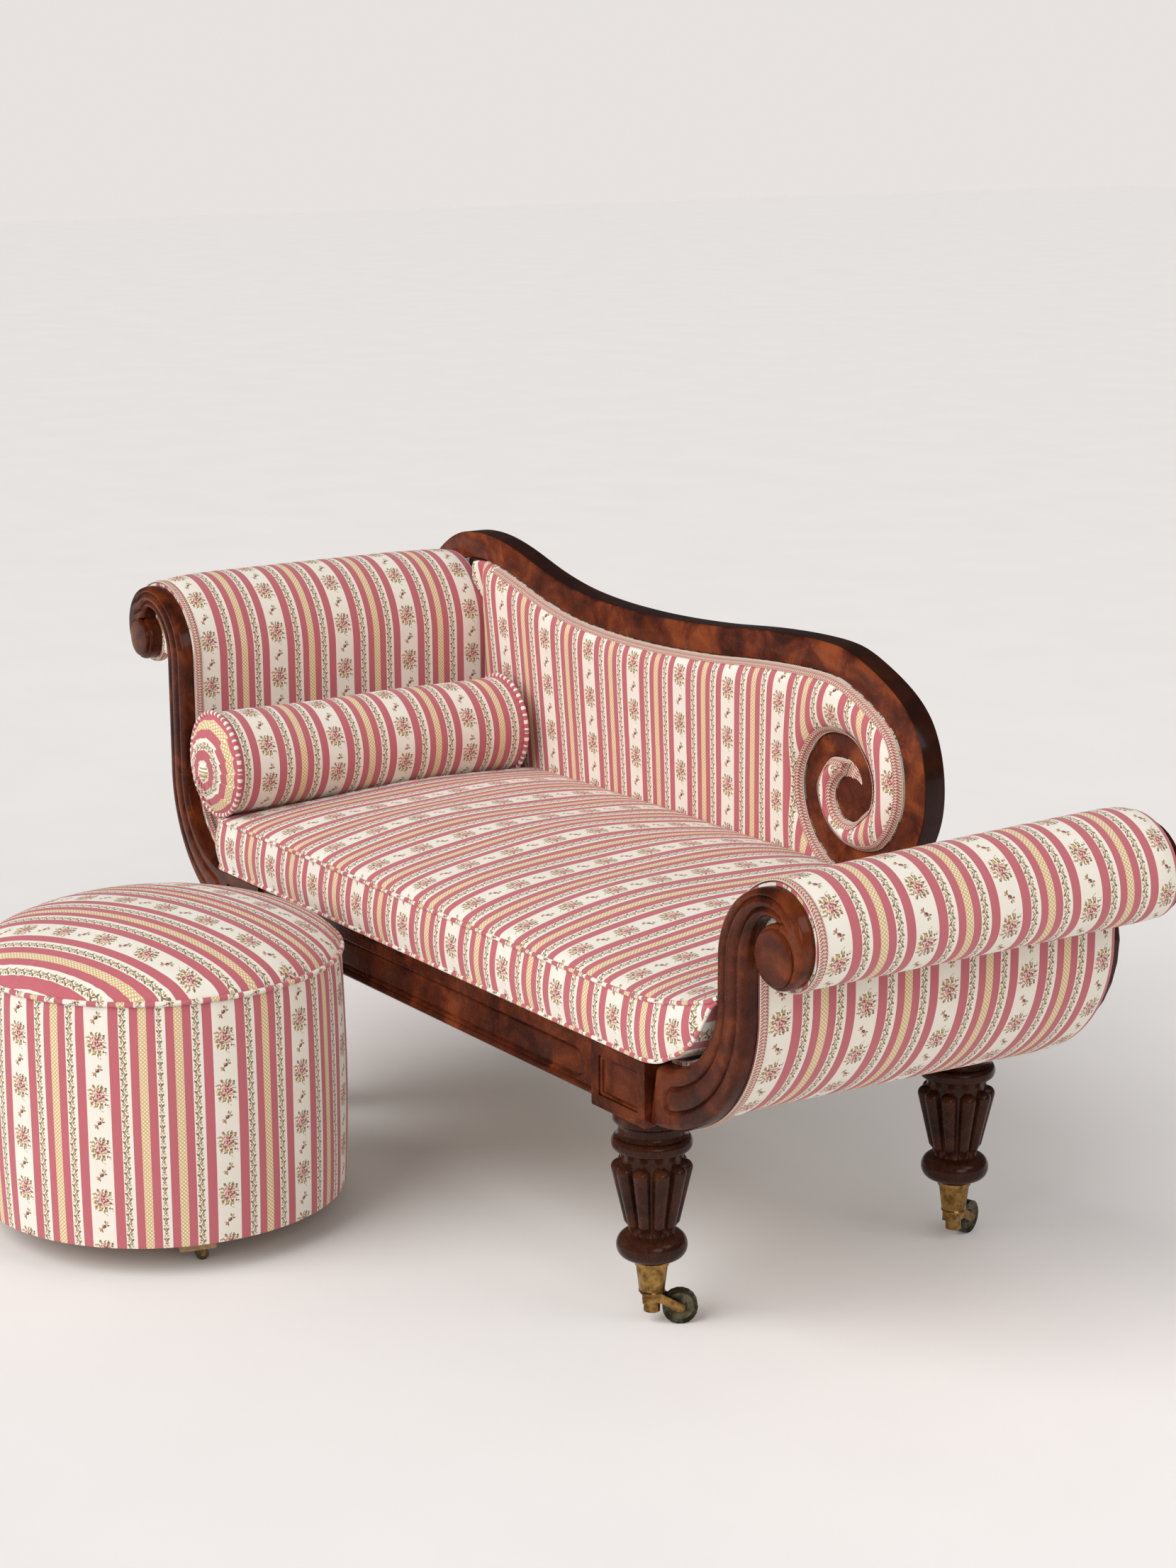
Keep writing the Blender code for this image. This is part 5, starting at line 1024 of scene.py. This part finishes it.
def bolster():
    half, middle = (ROLL_BACK - ROLL_FRONT) / 2, (ROLL_BACK + ROLL_FRONT) / 2
    seam = half - 0.010
    turn = np.linspace(0.0, math.tau, 253)

    def around(radius, y, angle=turn, x=ROLL_X, z=ROLL_Z):
        return joined(x + radius * np.cos(angle), y, z + radius * np.sin(angle))

    place, uv = [], []
    for y in np.linspace(-seam, seam, 71):
        near = (seam - abs(y)) / 0.012
        pucker = 0.0009 * math.exp(-near) * np.sin(turn * 46 + 2 * np.sin(turn * 5))
        place.append(around(ROLL_R - 0.0010 + 0.0010 * math.sin(y * 21) + pucker, middle + y))
        uv.append(joined((middle + y - ROLL_FRONT - ROLL_FLORAL) * 1.04 + FLORAL_CENTRE, turn * ROLL_R))
    patches = [(place, uv)]
    # the ends are gathered into pleats that meet under a button
    pleats = 14
    sector = turn / math.tau * pleats + 0.35 * np.sin(turn * 3)
    inside = sector % 1.0
    jog = 0.0010 * np.sin(np.floor(sector) % pleats * 2.4) * np.minimum(1.0, inside * 8)
    for sign, rise, joint in ((-1.0, 0.024, place[0]), (1.0, 0.014, place[-1])):
        cap, flat = [], []
        for radius in (*np.linspace(ROLL_R - 0.001, 0.013, 26), 0.006, 0.0005):
            share = radius / ROLL_R
            dome = rise * (1 - share ** 2.4) ** 0.8
            full = math.sin(math.pi * clamp((1 - share) * 1.15 + 0.05)) ** 0.6
            fold = 0.0034 * inside ** 1.4 * full
            dimple = 0.0040 * (1 - min(1.0, share * 4))
            y = seam + dome - dimple + fold - 0.0030
            cap.append(around(radius, middle + sign * y, turn, ROLL_X - 0.007 * (1 - share),
                              ROLL_Z - 0.014 * (1 - share)))
            straight = radius * (1.0 - 0.10 * (inside - 0.5) ** 2)
            flat.append(joined(ROLL_END_CLOTH - 0.97 * (ROLL_R - straight)
                               + jog * min(1.0, (1 - share) * 12), turn * ROLL_R * 0.55))
        cap[0] = joint
        patches.append((cap, flat))
    roll = fabric("bolster_roll", patches, "bolster", 55, ("bolster",))
    for sign, label, out in ((-1.0, "front", 0.0085), (1.0, "back", 0.0)):
        ring = around(ROLL_R + 0.0005, middle + sign * (seam - 0.0005),
                      np.linspace(0.0, math.tau, 181)[:-1])
        place, uv = tube(ring, THICK_PIPING, 10, closed=True, lengthwise=True)
        wrinkle = 1 + 0.10 * np.sin(np.arange(len(place)) * 1.9)[:, None, None]
        centre = np.vstack((ring, ring[:1]))[:, None, :]
        place = centre + (place - centre) * wrinkle
        place[-1] = place[0]
        uv[..., 0] = ROLL_PIPING_CLOTH + 0.0092 * np.sin(uv[..., 0] / 0.0038)
        fabric(f"bolster_piping_{label}", [(place, uv)], "bolster")
        angle = np.linspace(0.0, math.tau, 41)
        button = np.array([
            around(0.0150 * math.cos(up) * (1 + 0.16 * np.sin(angle * 7)),
                   middle + sign * (half + out + 0.0065 * math.sin(up)), angle, ROLL_X - 0.006,
                   ROLL_Z - 0.012) for up in np.linspace(0.0, math.pi / 2, 9)])
        fabric(f"bolster_button_{label}", [(button, joined(0.006, button[..., 2] + 0.02))], "bolster")


# Pouf

def pouf():
    turn = np.linspace(0.0, math.tau, 241)
    start = -0.453
    width = 0.276

    def around(radius, z, angle=turn):
        return joined(POUF_X + radius * np.cos(angle), POUF_Y + radius * np.sin(angle), z)

    rings = []
    for t in np.linspace(0.0, 1.0, 34):
        eased = 0.5 - 0.5 * math.cos(math.pi * t)
        radius = POUF_R + 0.004 * math.sin(math.pi * eased) ** 0.6 - 0.002 * math.exp(-eased * 30)
        rings.append((radius, POUF_SEAM - (POUF_SEAM - POUF_LOW) * eased))
    hem = POUF_R - 0.0099
    rings += [(POUF_R - 0.004, POUF_LOW), (hem, POUF_LOW), (hem, POUF_LOW + 0.018)]
    ripple = (np.sin(turn * 64 + 2.0 * np.sin(turn * 9))
              + 0.6 * np.sin(turn * 101 + 3 * np.sin(turn * 5)))
    place, uv = [], []
    for radius, z in rings:
        drop = POUF_SEAM - z
        fold = ripple * 0.0017 * math.exp(-drop / 0.022) * min(1.0, drop / 0.004)
        slow = 0.0014 * np.sin(turn * 5 + 1.0) + 0.0008 * np.sin(turn * 13 + z * 9)
        slow *= math.sin(math.pi * min(1.0, drop / (POUF_SEAM - POUF_LOW)))
        place.append(around(radius + fold + slow, z, turn + start))
        uv.append(joined((turn + start) * width + POUF_CLOTH + FLORAL_CENTRE, z))
    # two widths of fabric: past the rear join the stripes meet the front join's other side
    place, uv = np.array(place), np.array(uv)
    rear = len(turn) // 2
    second = uv[:, rear:] - (math.tau * width - POUF_JOIN, 0.0)
    patches = [(place[:, :rear + 1], uv[:, :rear + 1]), (place[:, rear:], second)]
    side = fabric("pouf_side", patches, "pouf", replaces=("pouf_cover",))
    place, uv = [], []
    tilt = math.radians(23)
    for share in np.sin(np.linspace(0.0, 1.0, 36) * math.pi / 2):
        fold = ripple * 0.0013 * math.exp(-(1 - share) / 0.06) * min(1.0, (1 - share) * 40)
        radius = max(POUF_R * share, 0.00005)
        x, y = radius * np.cos(turn), radius * np.sin(turn)
        place.append(around(radius, POUF_SEAM + POUF_CROWN * max(0.0, 1 - share ** 2) ** 0.6 + fold))
        uv.append(joined(y * math.cos(tilt) - x * math.sin(tilt) + POUF_TOP_CLOTH + FLORAL_CENTRE,
                         x * math.cos(tilt) + y * math.sin(tilt)))
    under = [around(radius, POUF_SEAM) for radius in (POUF_R, 0.0001)]
    crown = fabric("pouf_crown", [(place, uv), (under, None)], "pouf", 60, ("pouf_top",))
    ring = around(POUF_R + 0.0012, POUF_SEAM, np.linspace(0.0, math.tau, 301)[:-1])
    fabric("pouf_piping", [tube(ring, THICK_PIPING, 10, closed=True, lengthwise=True)], "pouf")


# Legs

def leg_mesh():
    """A turned leg with ten tapered reeds, as a radius at each angle and height."""
    turn = np.linspace(0.0, math.tau, 161)
    rings = [(0.3087, 0.0002), (0.3087, 0.0530), (0.3078, 0.0535), (0.302, 0.0535), (0.2955, 0.0535),
             (0.2940, 0.0522)]
    rings += [(0.2935 - 0.0200 * t, 0.0500 - 0.0040 * math.sin(math.pi * t) ** 0.5)
              for t in np.linspace(0.0, 1.0, 9)]
    rings += [(0.263 + 0.0095 * math.sin(a), 0.0478 + 0.0078 * math.cos(a) ** 0.7)
              for a in np.radians(np.linspace(90, -90, 17))]
    rings += [(0.2535 - 0.0135 * t, 0.0478 - 0.0050 * math.sin(math.pi * t / 2))
              for t in np.linspace(0.0, 1.0, 7)[1:]]
    # reeds: round-nosed ribs that thin out downwards
    top, low = 0.226, 0.148
    nose = top + 0.0118 * np.cos(np.linspace(0.05, math.pi / 2, 12))
    half = math.pi / 10
    phase = ((turn / (2 * half)) % 1.0 - 0.5) * 2 * half
    for z in (*nose, *np.linspace(top, low, 30)[1:]):
        t = clamp((top - z) / (top - low))
        reed = 0.0118 + (0.0079 - 0.0118) * t
        centre = 0.056 + (0.038 - 0.056) * t - reed
        core = 0.0425 + (0.0300 - 0.0425) * min(1.0, t * 1.02)
        if z > top:
            reed = math.sqrt(max(reed ** 2 - (z - top) ** 2, 1e-10))
        chord = reed ** 2 - (centre * np.sin(phase)) ** 2
        radius = np.where(chord > 0, centre * np.cos(phase) + np.sqrt(np.maximum(chord, 0.0)), 0.0)
        rings.append((z, np.maximum(radius, core)))
    last = rings[-1][1]
    rings += [(low - 0.0145 * t, last * (1 - t) + 0.0315 * t - 0.0018 * math.sin(math.pi * t))
              for t in np.linspace(0.0, 1.0, 9)[1:]]
    rings += [(0.115 + 0.0180 * math.sin(a), 0.0285 + 0.0205 * math.cos(a) ** 0.75)
              for a in np.radians(np.linspace(78, -66, 19))]
    rings += [(0.0935, 0.0250), (0.0917, 0.0235), (0.0917, 0.0190), (0.0616, 0.0160), (0.0616, 0.0002)]
    place = [joined(r * np.cos(turn), r * np.sin(turn), z) for z, r in rings]
    mesh = grids("reeded_leg", [(place, None)], 42)
    mesh.materials.append(TURNED)
    return mesh


def legs():
    mesh = leg_mesh()
    for name, (x, y) in CORNERS.items():
        show(f"reeded_leg_{name}", mesh, TURNED, replaces=(f"leg_{name}",),
             origin=ORIGIN + Vector((x, y, 0.0)))


# Rail and mouldings

def loop_round(centre, width, height, radius):
    """A closed rectangle with round corners."""
    x, z = width / 2 - radius, height / 2 - radius
    line = np.vstack([arc((centre[0] + sx * x, centre[1] + sz * z), radius, start, start + 90, 9)
                      for sx, sz, start in ((1, 1, 0), (-1, 1, 90), (-1, -1, 180), (1, -1, 270))])
    return even(np.vstack((line, line[:1])), 0.0025)[:-1]


def mouldings():
    """Fine beads inside the sunk panels of the front blocks."""
    low, high = RAIL_TOP - BLOCK_HEIGHT + SUNK_MARGIN, RAIL_TOP - SUNK_MARGIN
    inset = 0.0055
    for name in ("foot_front", "head_front"):
        centre = (CORNERS[name][0], (low + high) / 2)
        flat = loop_round(centre, BLOCK_X - 2 * SUNK_MARGIN - inset, high - low - inset, 0.0015)
        line = joined(flat[:, 0], BLOCK_FRONT + 0.0042, flat[:, 1])
        bead = grids(f"block_bead_{name}", [tube(line, 0.0026, 10, closed=True)])
        show(f"block_bead_{name}", bead, CARVED)


def front_rail():
    """The rail with its round-ended panel, outlined by a groove, and the bead below."""
    first, last, low, high = RAIL_PANEL
    radius, middle = (high - low) / 2, (high + low) / 2
    xs = np.linspace(-LEG_X + BLOCK_X / 2 + CLEAR, -BLOCK_X / 2 - CLEAR, 400)
    gx, gz = np.meshgrid(xs, np.linspace(RAIL_LOW, RAIL_TOP, 62))
    beyond = np.maximum(np.maximum(first + radius - gx, gx - last + radius), 0.0)
    away = radius - np.hypot(beyond, gz - middle)
    y = BLOCK_FRONT + 0.006 + 0.0022 * np.clip(away / 0.0025, 0.0, 1.0)
    y += 0.0036 * np.exp(-((away - 0.0012) / 0.0019) ** 2)
    bead = np.clip(1 - ((gz - RAIL_LOW - RAIL_BEAD) / RAIL_BEAD) ** 2, 0.0, 1.0)
    on_bead = gz < RAIL_LOW + 2 * RAIL_BEAD
    y = np.where(on_bead, BLOCK_FRONT + 0.010 - (RAIL_BEAD + 0.001) * np.sqrt(bead), y)
    rear, upper = (joined(xs, BLOCK_FRONT + 0.038, z)[None] for z in (RAIL_LOW, RAIL_TOP))
    place = np.vstack((rear, joined(gx, y, gz), upper, rear))
    mesh = grids("front_rail_carved", [(place, None)], 45)
    show("front_rail_carved", mesh, CARVED, replaces=("front_rail",))


def paint_frame():
    """Better finishes on the CAD nodes whose shape is right as it is."""
    for name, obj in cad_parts.items():
        look = next((m for key, m in CAD_LOOKS.items() if name.startswith(key)), BEECH)
        obj.data.materials.clear()
        obj.data.materials.append(look)
        if name.startswith("corner_block"):
            ease = obj.modifiers.new("eased edges", "BEVEL")
            ease.width = 0.0012
            ease.segments = 2
            ease.limit_method = "ANGLE"


# Stage

def background(tree, colour, strength):
    node = tree.nodes.new("ShaderNodeBackground")
    node.inputs[0].default_value = (*colour, 1.0)
    node.inputs[1].default_value = strength
    return node.outputs[0]


def choose(tree, test, no, yes):
    """One background where a ray passes a test, and another where it doesn't."""
    node = tree.nodes.new("ShaderNodeMixShader")
    for socket, source in zip(node.inputs, (test, no, yes)):
        tree.links.new(source, socket)
    return node.outputs[0]


def surround():
    """A plain world that the camera sees brighter than it lights and mirrors."""
    world = bpy.data.worlds.new("studio")
    bpy.context.scene.world = world
    world.use_nodes = True
    tree = world.node_tree
    tree.nodes.clear()
    path = tree.nodes.new("ShaderNodeLightPath").outputs
    white = (1.0, 0.985, 0.965)
    unseen = choose(tree, path["Is Glossy Ray"], background(tree, white, 0.42),
                    background(tree, white, 0.07))
    shown = choose(tree, path["Is Camera Ray"], unseen, background(tree, (0.80, 0.765, 0.745), 1.0))
    tree.links.new(shown, tree.nodes.new("ShaderNodeOutputWorld").inputs[0])


def lights():
    middle = Vector((0.0, 0.0, 0.4))
    for name, kind, place, size, power in (
            ("key", "SUN", (4.5, -1.2, 2.6), 30.0, 0.50),
            ("front", "SUN", (0.1, -3.6, 3.1), 58.0, 2.55),
            ("glint", "AREA", (3.2, 1.4, 2.8), 1.6, 18.0)):
        light = bpy.data.lights.new(name, kind)
        light.energy = power
        if kind == "SUN":
            light.angle = math.radians(size)
        else:
            light.size = size
        obj = add(name, light, place)
        obj.visible_glossy = name != "front"
        obj.rotation_euler = (middle - Vector(place)).to_track_quat("-Z", "Y").to_euler()


def studio():
    surround()
    lights()
    made, tree, shader = finish("floor_look", Roughness=0.7, Specular_IOR_Level=0.15)
    tone = noise(coordinates(tree), 3.0, 2.0)
    plug(tree, ramp(tone, [(0.3, (0.860, 0.833, 0.816)), (0.7, (0.880, 0.853, 0.836))]),
         shader.inputs["Base Color"])
    mesh = bpy.data.meshes.new("floor")
    mesh.from_pydata([(-30, -30, 0), (30, -30, 0), (30, 30, 0), (-30, 30, 0)], [], [(0, 1, 2, 3)])
    mesh.materials.append(made)
    floor = add("floor", mesh, (0.0, 0.0, -0.0002))
    bpy.context.scene.view_settings.view_transform = "Standard"


def camera():
    """The photograph's camera, solved from the legs, the rails and the floor contacts."""
    focal_length, photo_height = 4300, 2212
    yaw, pitch, roll = math.radians(56.203), math.radians(13.147), math.radians(-0.277)
    data = bpy.data.cameras.new("photo_camera")
    data.sensor_width = 36.0
    data.lens = focal_length / photo_height * data.sensor_width
    data.clip_end = 100.0
    ahead = Vector((-math.sin(yaw) * math.cos(pitch), math.cos(yaw) * math.cos(pitch),
                    -math.sin(pitch)))
    right = Vector((math.cos(yaw), math.sin(yaw), 0.0))
    up = right.cross(ahead)
    right, up = (right * math.cos(roll) + up * math.sin(roll),
                 up * math.cos(roll) - right * math.sin(roll))
    turn = Matrix((right, up, -ahead)).transposed().to_4x4()
    obj = add("photo_camera", data)
    obj.matrix_world = Matrix.Translation((3.753468, -2.228097, 1.6728)) @ turn
    bpy.context.scene.camera = obj


paint_frame()
end_pads()
front_scrolls()
back_band()
back_panel()
cushion()
bolster()
pouf()
legs()
mouldings()
front_rail()
studio()
camera()
